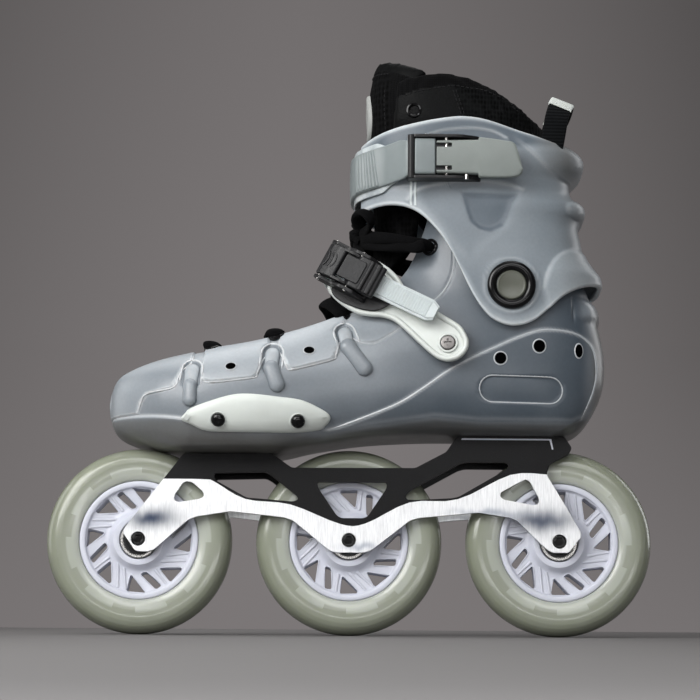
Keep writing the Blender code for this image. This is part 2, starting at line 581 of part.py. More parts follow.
# ---------------------------------------------------------------- side sliders and their screws
SLIDER = [(-98.4, 122), (-96, 125.5), (-92.6, 128.3), (-80, 132.8), (-67.7, 136), (-57.2, 136.4), (-42, 135), (-28.1, 133.3), (-16, 128.2), (-11.8, 125.2),
          (-11.5, 122.5), (-14, 119.4), (-17.5, 117.2), (-30, 115.3), (-45.4, 114.8), (-65, 114.8), (-83.1, 115.4), (-92, 118.8)]
for label, s in (("outer", -1), ("inner", 1)):
    cx = sum(p[0] for p in SLIDER) / len(SLIDER)
    cz = sum(p[1] for p in SLIDER) / len(SLIDER)
    bm = bmesh.new()
    layers = []
    for f, proud in ((0.0, None), (0.5, 1.3), (0.8, 1.3), (1.0, 1.3), (1.0, 2.0), (0.86, 3.8), (0.6, 4.6), (0.0, None)):
        if proud is None:
            layers.append(None)
            continue
        ring = []
        for x, z in SLIDER:
            px, pz = cx + (x - cx) * f, cz + (z - cz) * f
            ring.append(bm.verts.new((px, side_y(shell_tree, px, pz, s) + s * proud, pz)))
        layers.append(ring)
    n = len(SLIDER)
    back = bm.verts.new((cx, side_y(shell_tree, cx, cz, s) + s * 1.3, cz))
    frontv = bm.verts.new((cx, side_y(shell_tree, cx, cz, s) + s * 4.9, cz))
    for a, b in zip(layers[1:-1], layers[2:-1]):
        for i in range(n):
            j = (i + 1) % n
            bm.faces.new((a[i], a[j], b[j], b[i]))
    for i in range(n):
        j = (i + 1) % n
        bm.faces.new((back, layers[1][i], layers[1][j]))
        bm.faces.new((frontv, layers[-2][j], layers[-2][i]))
    ob = new_object("slider_" + label, bm, "pale", smooth=40)
    for tag, sx, sz in (("front", -76.2, 122.7), ("rear", -30.9, 122.8)):
        seat, up, _, _ = shell_tree.ray_cast(Vector((sx, s * 120.0, sz)), Vector((0, -s, 0)))
        boolean(ob, turned("cut", [(0, -2), (2.5, -2), (2.5, 9), (0, 9)], seat, up, 10, "pale", False))
        turned("slider_screw_%s_%s" % (label, tag), [(0, 0.7), (2.0, 0.7), (2.0, 5.5), (4.0, 5.5), (3.9, 6.1), (2.6, 6.9), (0, 7.2)],
               seat, up, 10, "black_screw", False, origin=seat + up * 5)

# ---------------------------------------------------------------- cuff buckle and its strap (moves with the cuff)
FLOOR0, FLOOR1, WALL = -48.9, -50.4, -59.4
PIN_X, PIN_Y = 55.7, -57.6


def up_z(u, v, w):
    return (u, v, w)


base = prism("cuff_buckle_base", [(33.5, FLOOR0), (76, FLOOR0), (76, FLOOR1), (33.5, FLOOR1)], up_z, 264.9, 289.3, "black_plastic")
for z0, z1 in ((264.2, 266.0), (288.2, 290.0)):
    wall = prism("wall", [(33.0, FLOOR0 + 0.3), (76.5, FLOOR0 + 0.3), (74.0, -53.0), (61, WALL), (37.5, WALL), (33.0, -56)], up_z, z0, z1, "black_plastic")
    boolean(base, wall, "UNION")
boolean(base, turned("cut", [(0, 255), (1.7, 255), (1.7, 300), (0, 300)], (PIN_X, PIN_Y, 0), (0, 0, 1), 12, "black_plastic", False))
base.data.materials.clear()
base.data.materials.append(MATS["black_plastic"])
turned("cuff_lever_pin", [(0, 264.0), (1.25, 264.0), (1.25, 290.2), (0, 290.2)], (PIN_X, PIN_Y, 0), (0, 0, 1), 10, "steel", False, origin=(PIN_X, PIN_Y, 277))
LEVER = [(51.2, 267.4), (74.6, 267.4), (74.9, 264.9), (97.6, 265.8), (100.2, 267.8), (100.7, 270), (95.6, 285.6), (93.6, 286.9), (74.9, 288.6), (74.6, 286.4), (51.2, 286.4)]
lever = prism("cuff_lever", LEVER, along_y, -55.6, -60.4, "pale", origin=(PIN_X, PIN_Y, 277))
boolean(lever, turned("cut", [(0, 255), (1.7, 255), (1.7, 300), (0, 300)], (PIN_X, PIN_Y, 0), (0, 0, 1), 12, "pale", False))

STRAP_Z = [(0, 272.5), (20, 272.7), (33, 273.6), (46, 275.4), (60, 276.9), (75, 277.5)]     # height over angle phi in degrees


def strap_point(phi_deg, s):
    z = table(STRAP_Z, phi_deg)
    p = cuff_point(math.radians(phi_deg), z, 2.9)
    return (p.x, s * abs(p.y), z)


near_side = [(47.5, -52.6, 277.2), (40, -52.7, 277.2), (33.0, -52.9, 277.2)]
cuff_strap_path = near_side + [strap_point(a, -1) for a in (46, 34, 22, 10)] + [strap_point(0, -1)] + [strap_point(a, 1) for a in (10, 22, 34, 46, 58, 70)]
ribbon("cuff_strap", cuff_strap_path, 30, lambda f: (0, 0, 1), lambda f: 20.4 if f < 0.19 else 24.0, lambda f: 2.6, "pale")
sp = Vector(strap_point(63, 1))
along = (Vector(strap_point(68, 1)) - Vector(strap_point(58, 1))).normalized()
turned("cuff_strap_screw", [(0, 2.0), (5.0, 2.0), (4.8, 2.8), (3.4, 3.8), (0, 4.1)], sp, Vector((0, 0, 1)).cross(along) * -1 if Vector((0, 0, 1)).cross(along).y < 0 else Vector((0, 0, 1)).cross(along), 10, "steel", False)

# ---------------------------------------------------------------- instep bracket, ratchet buckle and strap
O = Vector((2.0, -38.5, 209.0))
TILT_X, TILT_Z = 0.12, 0.107
N = Vector((-TILT_X, -1.0, TILT_Z)).normalized()
E1 = Vector((0.886, -TILT_X * 0.886 - TILT_Z * 0.463, -0.463)).normalized()   # down along the strap
E2 = N.cross(E1).normalized()                                                  # across the strap


def on_plane(x, z, w):
    """Point over (x, z) on the bracket's plane, w outwards along the normal."""
    y = O.y - TILT_X * (x - O.x) + TILT_Z * (z - O.z)
    return Vector((x, y, z)) + N * w


def local(a, b, w):
    return O + E1 * a + E2 * b + N * w


BRACKET = [(58.3, 157), (63.5, 158.6), (67.8, 163), (69, 168), (67.7, 172.5), (63.5, 178.7), (52.2, 186.1), (33.9, 199.6), (28.5, 207.2), (23.7, 212.6), (18.1, 216.7), (12.8, 219.4), (7.4, 220.4),
           (1, 219.5), (-6, 214), (-12, 206.5), (-13.6, 202), (-11.4, 197.9), (-5.3, 192), (3.6, 186.5), (11.7, 184.7), (18.3, 184.1), (25.2, 181.7), (31.8, 176.3), (42.1, 166.1), (49.5, 159.6), (54, 157.4)]
SCREW = (57.1, 167.8)
bracket = prism("instep_bracket", BRACKET, on_plane, -2.6, 0.0, "pale", holes=[circle(SCREW[0], SCREW[1], 2.6, 12)])
turned("instep_bracket_screw", [(0, -2.4), (2.1, -2.4), (2.1, 0.4), (5.0, 0.4), (5.0, 1.2), (4.2, 1.9), (0, 2.1)], on_plane(SCREW[0], SCREW[1], 0), N, 12, "steel", False)
PAD = [(-11, 199), (-6, 193.5), (4, 189), (14, 187.2), (22, 190), (26, 195), (25, 202), (19, 210.5), (12, 215), (4, 215.5), (-4, 212), (-9.5, 205)]
prism("buckle_pad", PAD, on_plane, 0.4, 2.0, "black_plastic")
body = prism("ratchet_body", [(-7, 2.7), (13.0, 2.7), (13.0, 4.3), (-7, 4.3)], lambda u, v, w: local(u, w, v), -11.6, 11.6, "black_plastic")
for b0, b1 in ((-12.4, -10.4), (10.4, 12.4)):
    wall = prism("wall", [(-17, 2.4), (13.6, 2.4), (12.0, 6.5), (6.0, 13.2), (-2.5, 13.2), (-8, 9.0), (-16, 10.6), (-20.0, 8.0)], lambda u, v, w: local(u, w, v), b0, b1, "black_plastic")
    boolean(body, wall, "UNION")
boolean(body, turned("cut", [(0, -20), (1.7, -20), (1.7, 20), (0, 20)], local(1.5, 0, 11.0), E2, 12, "black_plastic", False))
boolean(body, turned("cut", [(0, -20), (1.6, -20), (1.6, 20), (0, 20)], local(-16.6, 0, 8.2), E2, 12, "black_plastic", False))
body.data.materials.clear()
body.data.materials.append(MATS["black_plastic"])
turned("ratchet_pin", [(0, -13), (1.2, -13), (1.2, 13), (0, 13)], local(1.5, 0, 11.0), E2, 10, "steel", False)
turned("trigger_pin", [(0, -13), (1.1, -13), (1.1, 13), (0, 13)], local(-16.6, 0, 8.2), E2, 10, "steel", False)
RATCHET = [(1.5 + 3.1 * math.cos(math.radians(a)), 11.0 + 3.1 * math.sin(math.radians(a))) for a in (90, 120, 150, 180, 210, 240, 270)] + [(8, 8.4), (17.5, 9.2), (18.6, 11.6), (17.8, 13.4), (8, 15.6), (4, 15.4)]
rl = prism("ratchet_lever", RATCHET, lambda u, v, w: local(u, w, v), -9.9, 9.9, "black_plastic", origin=local(1.5, 0, 11.0))
boolean(rl, turned("cut", [(0, -20), (1.7, -20), (1.7, 20), (0, 20)], local(1.5, 0, 11.0), E2, 12, "black_plastic", False))
TRIGGER = [(-18.8, 7.0), (-16.6, 6.2), (-9, 8.6), (-4.4, 8.8), (-3.4, 11), (-5, 14.0), (-10, 14.6), (-17, 12.0), (-18.9, 9.6)]
tr = prism("release_trigger", TRIGGER, lambda u, v, w: local(u, w, v), -9.9, 9.9, "black_plastic", origin=local(-16.6, 0, 8.2))
boolean(tr, turned("cut", [(0, -20), (1.6, -20), (1.6, 20), (0, 20)], local(-16.6, 0, 8.2), E2, 12, "black_plastic", False))

near_run = [local(56.0, 0, 7.6), local(36.0, 0, 6.5), local(14.0, 0, 6.1), local(0, 0, 6.1), local(-10.0, 0, 6.1)]
over = [(-12.5, -25.0, 219.0), (-14.5, -12.0, 223.0), (-15.0, 0.0, 224.0), (-14.0, 13.0, 222.0), (-9.0, 26.0, 216.0), (0.0, 37.5, 207.5), (14.0, 43.5, 197.5), (34.0, 47.2, 184.5), (46.0, 48.4, 177.0)]
ribbon("instep_strap", near_run + over, 36, lambda f: E2 if f < 0.4 else (0.50, 0.0, 0.866), lambda f: 13.4, lambda f: 2.4, "pale")
far = Vector((42.0, 48.2, 179.4))
turned("instep_strap_screw", [(0, 1.7), (5.0, 1.7), (4.8, 2.5), (3.4, 3.5), (0, 3.8)], far, (0, 1, 0), 10, "steel", False)

# ---------------------------------------------------------------- eyelets and lace
by_row = {}
for i, s, loc, nor in eyelet_sites:
    by_row[(i, s)] = (loc, nor)
    if i >= 2:
        r = 4.7 if i == 3 else 4.2
        turned("eyelet_%d_%s" % (i + 1, "outer" if s < 0 else "inner"), [(3.1, 0.5), (r, 0.5), (r - 0.3, 1.6), (3.1, 1.6)], loc, nor, 12, "black_screw", True)


def lace_row(name, i, over, r=1.7):
    """One bar of the lace: out of one eyelet, over the tongue, into the opposite eyelet."""
    (pa, na), (pb, nb) = by_row[(i, -1)], by_row[(i, 1)]
    go = [Vector((x, -y + sway(x), z)) for x, y, z in over]
    back = [Vector((x, y + sway(x), z)) for x, y, z in reversed(over[:-1])]
    pts = [pa - na * 2.2, pa + na * 1.8, pa + na * 5.0 + (go[0] - pa).normalized() * 2.6] + go
    pts += back + [pb + nb * 5.0 + (back[-1] - pb).normalized() * 2.6, pb + nb * 1.8, pb - nb * 2.2]
    cu = bpy.data.curves.new(name, "CURVE")
    cu.dimensions = "3D"
    spline = cu.splines.new("POLY")
    path = smooth_path(pts, 2 * (len(pts) - 1) + 1)
    spline.points.add(len(path) - 1)
    for k, p in enumerate(path):
        spline.points[k].co = (p.x * MM, p.y * MM, p.z * MM, 1)
    cu.bevel_depth = r * MM
    cu.bevel_resolution = 2
    cu.use_fill_caps = True
    ob = bpy.data.objects.new(name, cu)
    bpy.context.scene.collection.objects.link(ob)
    cu.materials.append(MATS["webbing"])
    return ob


# each list runs from beside the outer eyelet to the middle of the tongue
lace_row("lace_row_1", 0, [(-80.6, 14.0, 171.4), (-80.4, 0.0, 172.0)])
lace_row("lace_row_2", 1, [(-44.6, 17.0, 179.4), (-44.4, 0.0, 180.4)])
lace_row("lace_row_3", 2, [(-11.0, 15.0, 201.0), (-12.0, 0.0, 203.0)])
lace_row("lace_row_4", 3, [(34.0, 35.5, 229.8), (20.0, 31.0, 231.5), (9.0, 17.0, 233.0), (6.6, 0.0, 234.0)])
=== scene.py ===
import math

import bmesh
import bpy
import numpy as np
from mathutils import Matrix, Vector
from mathutils.bvhtree import BVHTree
from mathutils.geometry import delaunay_2d_cdt


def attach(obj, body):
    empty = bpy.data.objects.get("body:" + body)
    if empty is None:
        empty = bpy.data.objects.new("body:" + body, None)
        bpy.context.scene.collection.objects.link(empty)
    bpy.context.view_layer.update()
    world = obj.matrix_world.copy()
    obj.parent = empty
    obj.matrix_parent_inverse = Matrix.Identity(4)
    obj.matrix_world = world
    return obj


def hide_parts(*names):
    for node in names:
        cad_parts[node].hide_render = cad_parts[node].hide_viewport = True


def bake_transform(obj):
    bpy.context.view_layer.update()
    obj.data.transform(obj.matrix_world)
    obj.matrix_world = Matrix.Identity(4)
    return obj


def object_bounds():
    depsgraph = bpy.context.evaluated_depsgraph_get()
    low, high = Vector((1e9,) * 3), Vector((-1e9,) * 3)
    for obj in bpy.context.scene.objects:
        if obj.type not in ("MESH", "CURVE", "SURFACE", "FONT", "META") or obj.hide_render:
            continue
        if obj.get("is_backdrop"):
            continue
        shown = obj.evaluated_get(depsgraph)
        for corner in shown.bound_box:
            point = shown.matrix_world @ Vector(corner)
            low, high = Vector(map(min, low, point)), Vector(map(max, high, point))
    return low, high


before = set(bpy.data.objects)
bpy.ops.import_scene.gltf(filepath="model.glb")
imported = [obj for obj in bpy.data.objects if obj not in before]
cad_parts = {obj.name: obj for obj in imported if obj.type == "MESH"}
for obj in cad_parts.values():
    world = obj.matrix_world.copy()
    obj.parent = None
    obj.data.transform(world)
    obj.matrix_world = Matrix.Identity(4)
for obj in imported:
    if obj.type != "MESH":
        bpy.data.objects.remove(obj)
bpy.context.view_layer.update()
MM = 0.001
rng = np.random.default_rng(7)


# ================================================================ mesh helpers
def to_object(name, verts, faces, mat, origin=(0, 0, 0), merge=0.0, smooth=True, angle=None, attrs=None):
    """Mesh object from millimetre vertices. attrs: per-vertex values, name to array."""
    o = np.array(origin, float)
    me = bpy.data.meshes.new(name)
    me.from_pydata(((np.asarray(verts, float) - o) * MM).tolist(), [], [tuple(int(i) for i in f) for f in faces])
    for key, val in (attrs or {}).items():
        a = me.attributes.new(key, "FLOAT", "POINT")
        a.data.foreach_set("value", np.asarray(val, np.float32))
    bm = bmesh.new()
    bm.from_mesh(me)
    if merge:
        bmesh.ops.remove_doubles(bm, verts=bm.verts, dist=merge * MM)
    bmesh.ops.recalc_face_normals(bm, faces=bm.faces)
    bm.to_mesh(me)
    bm.free()
    if smooth:
        me.shade_smooth()
        if angle is not None:
            me.set_sharp_from_angle(angle=math.radians(angle))
    ob = bpy.data.objects.new(name, me)
    ob.location = o * MM
    bpy.context.scene.collection.objects.link(ob)
    if mat is not None:
        me.materials.append(mat)
    return ob


def apply_mods(ob):
    """Makes the object's modifiers part of its mesh."""
    bpy.context.view_layer.update()
    dg = bpy.context.evaluated_depsgraph_get()
    me = bpy.data.meshes.new_from_object(ob.evaluated_get(dg))
    ob.modifiers.clear()
    old = ob.data
    ob.data = me
    me.name = ob.name
    if old.users == 0:
        bpy.data.meshes.remove(old) if isinstance(old, bpy.types.Mesh) else None
    return ob


def bevel(ob, width, segments=2, angle=30.0, smooth=40.0):
    """Rounds the edges by width millimetres."""
    m = ob.modifiers.new("bevel", "BEVEL")
    m.width = width * MM
    m.segments = segments
    m.limit_method = "ANGLE"
    m.angle_limit = math.radians(angle)
    m.use_clamp_overlap = True
    m.harden_normals = False
    apply_mods(ob)
    ob.data.shade_smooth()
    ob.data.set_sharp_from_angle(angle=math.radians(smooth))
    return ob


def boolean(ob, other, op="DIFFERENCE", keep=False):
    mod = ob.modifiers.new("bool", "BOOLEAN")
    mod.object = other
    mod.operation = op
    mod.solver = "EXACT"
    apply_mods(ob)
    if not keep:
        bpy.data.objects.remove(other, do_unlink=True)
    return ob


def put(ob, body, *nodes, slot=None):
    """The piece rides on a body and stands for CAD nodes."""
    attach(ob, body)
    if nodes:
        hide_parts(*nodes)
    return ob


def prism(name, outer, place, a, b, mat, holes=(), origin=(0, 0, 0), smooth=None):
    """Extrudes a flat outline with holes from depth a to depth b."""
    bm = bmesh.new()
    edges = []
    for loop in (outer,) + tuple(holes):
        vs = [bm.verts.new(Vector(place(u, v, a)) * MM) for u, v in loop]
        for i in range(len(vs)):
            edges.append(bm.edges.new((vs[i], vs[(i + 1) % len(vs)])))
    bmesh.ops.triangle_fill(bm, use_beauty=True, use_dissolve=False, edges=edges)
    bmesh.ops.dissolve_limit(bm, angle_limit=0.01, verts=bm.verts, edges=bm.edges) if not holes else None
    faces = list(bm.faces)
    ext = bmesh.ops.extrude_face_region(bm, geom=faces, use_keep_orig=True)
    top = [g for g in ext["geom"] if isinstance(g, bmesh.types.BMVert)]
    bmesh.ops.translate(bm, vec=(Vector(place(0, 0, b)) - Vector(place(0, 0, a))) * MM, verts=top)
    bmesh.ops.recalc_face_normals(bm, faces=bm.faces)
    o = Vector(origin) * MM
    bmesh.ops.translate(bm, vec=-o, verts=bm.verts)
    me = bpy.data.meshes.new(name)
    bm.to_mesh(me)
    bm.free()
    ob = bpy.data.objects.new(name, me)
    ob.location = o
    bpy.context.scene.collection.objects.link(ob)
    if mat is not None:
        me.materials.append(mat)
    if smooth is not None:
        me.shade_smooth()
        me.set_sharp_from_angle(angle=math.radians(smooth))
    return ob


def along_y(u, v, w):
    return (u, w, v)


def up_z(u, v, w):
    return (u, v, w)


def circle(cx, cy, r, n, start=0.0):
    return [(cx + r * math.cos(start + 2 * math.pi * i / n), cy + r * math.sin(start + 2 * math.pi * i / n)) for i in range(n)]


def rounded(points, n=6, closed=True):
    """Catmull-Rom through an outline: n points for each of its sides."""
    p = [Vector(q) for q in points]
    m = len(p)
    out = []
    for i in range(m if closed else m - 1):
        p0, p1, p2, p3 = p[(i - 1) % m], p[i], p[(i + 1) % m], p[(i + 2) % m]
        if not closed:
            p0 = p[max(i - 1, 0)]
            p3 = p[min(i + 2, m - 1)]
        for k in range(n):
            f = k / n
            out.append(0.5 * (2 * p1 + (p2 - p0) * f + (2 * p0 - 5 * p1 + 4 * p2 - p3) * f * f + (3 * p1 - p0 - 3 * p2 + p3) * f ** 3))
    if not closed:
        out.append(p[-1].copy())
    return out


def fillet(points, r, n=4):
    """Rounds each corner of an outline by about r millimetres."""
    out = []
    m = len(points)
    for i in range(m):
        a, b, c = Vector(points[i - 1]), Vector(points[i]), Vector(points[(i + 1) % m])
        u, v = (a - b), (c - b)
        k = min(r, u.length * 0.45, v.length * 0.45)
        if k < 0.05 or abs(u.normalized().dot(v.normalized())) > 0.985:
            out.append((b.x, b.y))
            continue
        s, e = b + u.normalized() * k, b + v.normalized() * k
        for t in range(n + 1):
            f = t / n
            q = (s * (1 - f) + b * f) * (1 - f) + (b * (1 - f) + e * f) * f
            out.append((q.x, q.y))
    return out


def turned(name, profile, centre, axis, n, mat, closed=False, origin=None, smooth=35.0, start=0.0):
    """Turns a profile of (radius, height) about an axis through centre."""
    axis = Vector(axis).normalized()
    side = axis.orthogonal().normalized() if abs(axis.y) < 0.99 else Vector((1, 0, 0))
    other = axis.cross(side)
    c = Vector(centre)
    verts, rings, faces = [], [], []
    for r, h in profile:
        idx = []
        for i in range(1 if r < 1e-6 else n):
            a = start + 2 * math.pi * i / n
            verts.append(tuple(c + axis * h + side * (r * math.cos(a)) + other * (r * math.sin(a))))
            idx.append(len(verts) - 1)
        rings.append(idx)
    pairs = list(zip(rings, rings[1:]))
    if closed:
        pairs.append((rings[-1], rings[0]))
    for a, b in pairs:
        for i in range(n):
            j = (i + 1) % n
            vs = []
            for v in (a[i % len(a)], a[j % len(a)], b[j % len(b)], b[i % len(b)]):
                if v not in vs:
                    vs.append(v)
            if len(vs) > 2:
                faces.append(vs)
    return to_object(name, verts, faces, mat, origin=tuple(c) if origin is None else origin, angle=smooth)


def round_profile(points, r, n=3):
    """Rounds the corners of an open (radius, height) profile, keeping its ends."""
    out = [points[0]]
    for i in range(1, len(points) - 1):
        a, b, c = Vector(points[i - 1]), Vector(points[i]), Vector(points[i + 1])
        u, v = a - b, c - b
        k = min(r, u.length * 0.45, v.length * 0.45)
        s, e = b + u.normalized() * k, b + v.normalized() * k
        for t in range(n + 1):
            f = t / n
            q = (s * (1 - f) + b * f) * (1 - f) + (b * (1 - f) + e * f) * f
            out.append((q.x, q.y))
    out.append(points[-1])
    return out


def smooth_path(points, n):
    pts = [Vector(p) for p in points]
    pts = [pts[0] * 2 - pts[1]] + pts + [pts[-1] * 2 - pts[-2]]
    out = []
    spans = len(pts) - 3
    for k in range(n):
        t = k / (n - 1) * spans
        i = min(int(t), spans - 1)
        f = t - i
        p0, p1, p2, p3 = pts[i : i + 4]
        out.append(0.5 * (2 * p1 + (p2 - p0) * f + (2 * p0 - 5 * p1 + 4 * p2 - p3) * f * f + (3 * p1 - p0 - 3 * p2 + p3) * f ** 3))
    return out


def strap(name, points, n, wide, section, mat, cap=True, attrs=None, angle=35):
    """Sweeps a section along a path. wide(f): width direction; section(f): list of (across, up) points."""
    pts = smooth_path(points, n)
    verts, faces = [], []
    m = None
    for k, p in enumerate(pts):
        t = (pts[min(k + 1, n - 1)] - pts[max(k - 1, 0)]).normalized()
        w = Vector(wide(k / (n - 1)))
        w = (w - t * w.dot(t)).normalized()
        u = t.cross(w).normalized()
        sec = section(k / (n - 1))
        m = len(sec)
        for a, b in sec:
            verts.append(tuple(p + w * a + u * b))
    for k in range(n - 1):
        for i in range(m):
            j = (i + 1) % m
            faces.append((k * m + i, k * m + j, (k + 1) * m + j, (k + 1) * m + i))
    if cap:
        faces.append(tuple(range(m)))
        faces.append(tuple(reversed(range((n - 1) * m, n * m))))
    return to_object(name, verts, faces, mat, angle=angle, attrs=attrs)


def tube(name, points, r, mat, n=None, sides=12, res=4, squash=1.0):
    """Round cord along a smooth curve."""
    n = n or max(12, 6 * len(points))
    pts = smooth_path(points, n)
    up = Vector((0.1, 0.2, 0.97))
    verts, faces = [], []
    prev = None
    for k, p in enumerate(pts):
        t = (pts[min(k + 1, n - 1)] - pts[max(k - 1, 0)]).normalized()
        if prev is None:
            a = t.orthogonal().normalized()
        else:
            a = (prev - t * prev.dot(t)).normalized()
        prev = a
        b = t.cross(a)
        rr = r(k / (n - 1)) if callable(r) else r
        for i in range(sides):
            an = 2 * math.pi * i / sides
            verts.append(tuple(p + a * (rr * math.cos(an)) + b * (rr * squash * math.sin(an))))
    for k in range(n - 1):
        for i in range(sides):
            j = (i + 1) % sides
            faces.append((k * sides + i, k * sides + j, (k + 1) * sides + j, (k + 1) * sides + i))
    faces.append(tuple(range(sides)))
    faces.append(tuple(reversed(range((n - 1) * sides, n * sides))))
    return to_object(name, verts, faces, mat, angle=60)


def join(name, obs):
    """One object from several with the same placing."""
    bm = bmesh.new()
    mats = []
    for o in obs:
        me = o.data
        for m in me.materials:
            if m not in mats:
                mats.append(m)
        tmp = bmesh.new()
        tmp.from_mesh(me)
        tmp.transform(Matrix.Translation(o.location))
        idx = mats.index(me.materials[0])
        for f in tmp.faces:
            f.material_index = idx
        t2 = bpy.data.meshes.new("t")
        tmp.to_mesh(t2)
        tmp.free()
        bm.from_mesh(t2)
        bpy.data.meshes.remove(t2)
    me = bpy.data.meshes.new(name)
    bm.to_mesh(me)
    bm.free()
    for m in mats:
        me.materials.append(m)
    me.shade_smooth()
    me.set_sharp_from_angle(angle=math.radians(38))
    for o in obs:
        bpy.data.objects.remove(o, do_unlink=True)
    ob = bpy.data.objects.new(name, me)
    bpy.context.scene.collection.objects.link(ob)
    return ob


# ================================================================ numeric helpers
def sstep(a, b, t):
    f = np.clip((t - a) / (b - a), 0, 1)
    return f * f * (3 - 2 * f)


def seg_dist(x, z, pts):
    """Distance to an open polyline in the side view."""
    best = np.full(np.shape(x), 1e9)
    for (ax, az), (bx, bz) in zip(pts, pts[1:]):
        dx, dz = bx - ax, bz - az
        t = np.clip(((x - ax) * dx + (z - az) * dz) / (dx * dx + dz * dz + 1e-12), 0, 1)
        best = np.minimum(best, np.hypot(x - ax - t * dx, z - az - t * dz))
    return best


def poly_sd(x, z, pts):
    """Signed distance to a closed outline, negative inside."""
    d = seg_dist(x, z, list(pts) + [pts[0]])
    inside = np.zeros(np.shape(x), bool)
    n = len(pts)
    for i in range(n):
        (ax, az), (bx, bz) = pts[i], pts[(i + 1) % n]
        cond = (az > z) != (bz > z)
        xx = (bx - ax) * (z - az) / ((bz - az) if abs(bz - az) > 1e-9 else 1e-9) + ax
        inside ^= cond & (x < xx)
    return np.where(inside, -d, d)


def curve2(pts, n=8):
    return [(p.x, p.y) for p in rounded([(a, b) for a, b in pts], n, closed=False)]


def herm(rows, t):
    """Smooth reading of a table of (key, value) rows."""
    ks = np.array([r[0] for r in rows], float)
    vs = np.array([r[1] for r in rows], float)
    sl = np.gradient(vs, ks)
    t = np.clip(t, ks[0], ks[-1])
    i = np.clip(np.searchsorted(ks, t) - 1, 0, len(ks) - 2)
    h = ks[i + 1] - ks[i]
    f = (t - ks[i]) / h
    return (2 * f ** 3 - 3 * f ** 2 + 1) * vs[i] + (f ** 3 - 2 * f ** 2 + f) * h * sl[i] + (-2 * f ** 3 + 3 * f ** 2) * vs[i + 1] + (f ** 3 - f ** 2) * h * sl[i + 1]


def cat_rows(rows, u):
    """Catmull-Rom through table rows, at fractional row numbers u."""
    A = np.asarray(rows, float)
    n = len(A)
    i = np.clip(np.floor(u).astype(int), 0, n - 2)
    f = (u - i)[:, None]
    p0, p1, p2, p3 = A[np.maximum(i - 1, 0)], A[i], A[i + 1], A[np.minimum(i + 2, n - 1)]
    return 0.5 * (2 * p1 + (p2 - p0) * f + (2 * p0 - 5 * p1 + 4 * p2 - p3) * f ** 2 + (3 * p1 - p0 - 3 * p2 + p3) * f ** 3)


def grid_normals(P):
    du = np.gradient(P, axis=0)
    dv = np.gradient(P, axis=1)
    N = np.cross(du, dv)
    L = np.linalg.norm(N, axis=2, keepdims=True)
    N = N / np.maximum(L, 1e-9)
    return N


def wall(name, P, N, disp, t, mat, ends=(False, True), sides=True, closed_rows=None, attrs=None, inner_step=1):
    """Closed wall from a grid P with outward normals N: outer face lifted by disp, inner face t below the grid, rounded rims.
    ends: rims at the first and last row; sides: rims at the first and last column, except rows marked closed."""
    nu, nv = P.shape[:2]
    outer = P + N * disp[..., None]
    inner = P - N * t
    verts = [outer.reshape(-1, 3), inner.reshape(-1, 3)]
    base = nu * nv
    vals = {k: [np.asarray(v).reshape(-1), np.asarray(v).reshape(-1)] for k, v in (attrs or {}).items()}
    faces = []
    idx = np.arange(nu * nv).reshape(nu, nv)
    a, b, c, d = idx[:-1, :-1].ravel(), idx[1:, :-1].ravel(), idx[1:, 1:].ravel(), idx[:-1, 1:].ravel()
    faces.append(np.stack([a, b, c, d], 1))
    faces.append(np.stack([a, d, c, b], 1) + base)
    extra, exvals, count = [], {k: [] for k in vals}, 2 * base

    def rim(ids, away):
        nonlocal count
        o, i_ = outer.reshape(-1, 3)[ids], inner.reshape(-1, 3)[ids]
        th = np.linalg.norm(o - i_, axis=1, keepdims=True)
        loops = [ids]
        # rim loops get lite 1.0: a painted highlight along every rim
        for f, k in ((0.14, 0.30), (0.5, 0.46), (0.86, 0.30)):
            extra.append(o * (1 - f) + i_ * f + away * th * k)
            for key in exvals:
                exvals[key].append(np.full(len(ids), 1.0) if key == "lite" else vals[key][0][ids])
            loops.append(np.arange(count, count + len(ids)))
            count += len(ids)
        loops.append(ids + base)
        for p, q in zip(loops, loops[1:]):
            faces.append(np.stack([p[:-1], p[1:], q[1:], q[:-1]], 1))

    def unit(v):
        return v / np.maximum(np.linalg.norm(v, axis=-1, keepdims=True), 1e-9)

    if ends[1]:
        rim(idx[-1], unit(P[-1] - P[-2]))
    if ends[0]:
        rim(idx[0], unit(P[0] - P[1]))
    if sides:
        keep = np.ones(nu, bool) if closed_rows is None else ~closed_rows
        rows = np.where(keep)[0]
        if closed_rows is not None and rows[0] > 0:
            rows = np.concatenate([[rows[0] - 1], rows])
        rim(idx[rows, 0], unit(P[rows, 0] - P[rows, 1]))
        rim(idx[rows, -1], unit(P[rows, -1] - P[rows, -2]))
    V = np.concatenate(verts + extra)
    F = np.concatenate(faces)
    at = {k: np.concatenate(v + exvals[k]) for k, v in vals.items()}
    return to_object(name, V, F, mat, merge=0.02, angle=62, attrs=at)


# ================================================================ materials
def material(name, color, rough, metal=0.0, **kw):
    m = bpy.data.materials.new(name)
    m.use_nodes = True
    b = m.node_tree.nodes["Principled BSDF"]
    b.inputs["Base Color"].default_value = (*color, 1)
    b.inputs["Roughness"].default_value = rough
    b.inputs["Metallic"].default_value = metal
    for k, v in kw.items():
        b.inputs[k.replace("_", " ")].default_value = v
    return m, m.node_tree, b


def coords(nt, kind="Object"):
    return nt.nodes.new("ShaderNodeTexCoord").outputs[kind]


def noise(nt, scale, detail=4.0, vec=None, rough=0.5, stretch=None):
    if vec is None:
        vec = coords(nt)
    if stretch is not None:
        mp = nt.nodes.new("ShaderNodeMapping")
        mp.inputs["Scale"].default_value = stretch
        nt.links.new(vec, mp.inputs["Vector"])
        vec = mp.outputs["Vector"]
    n = nt.nodes.new("ShaderNodeTexNoise")
    n.inputs["Scale"].default_value = scale
    n.inputs["Detail"].default_value = detail
    n.inputs["Roughness"].default_value = rough
    nt.links.new(vec, n.inputs["Vector"])
    return n.outputs["Fac"]


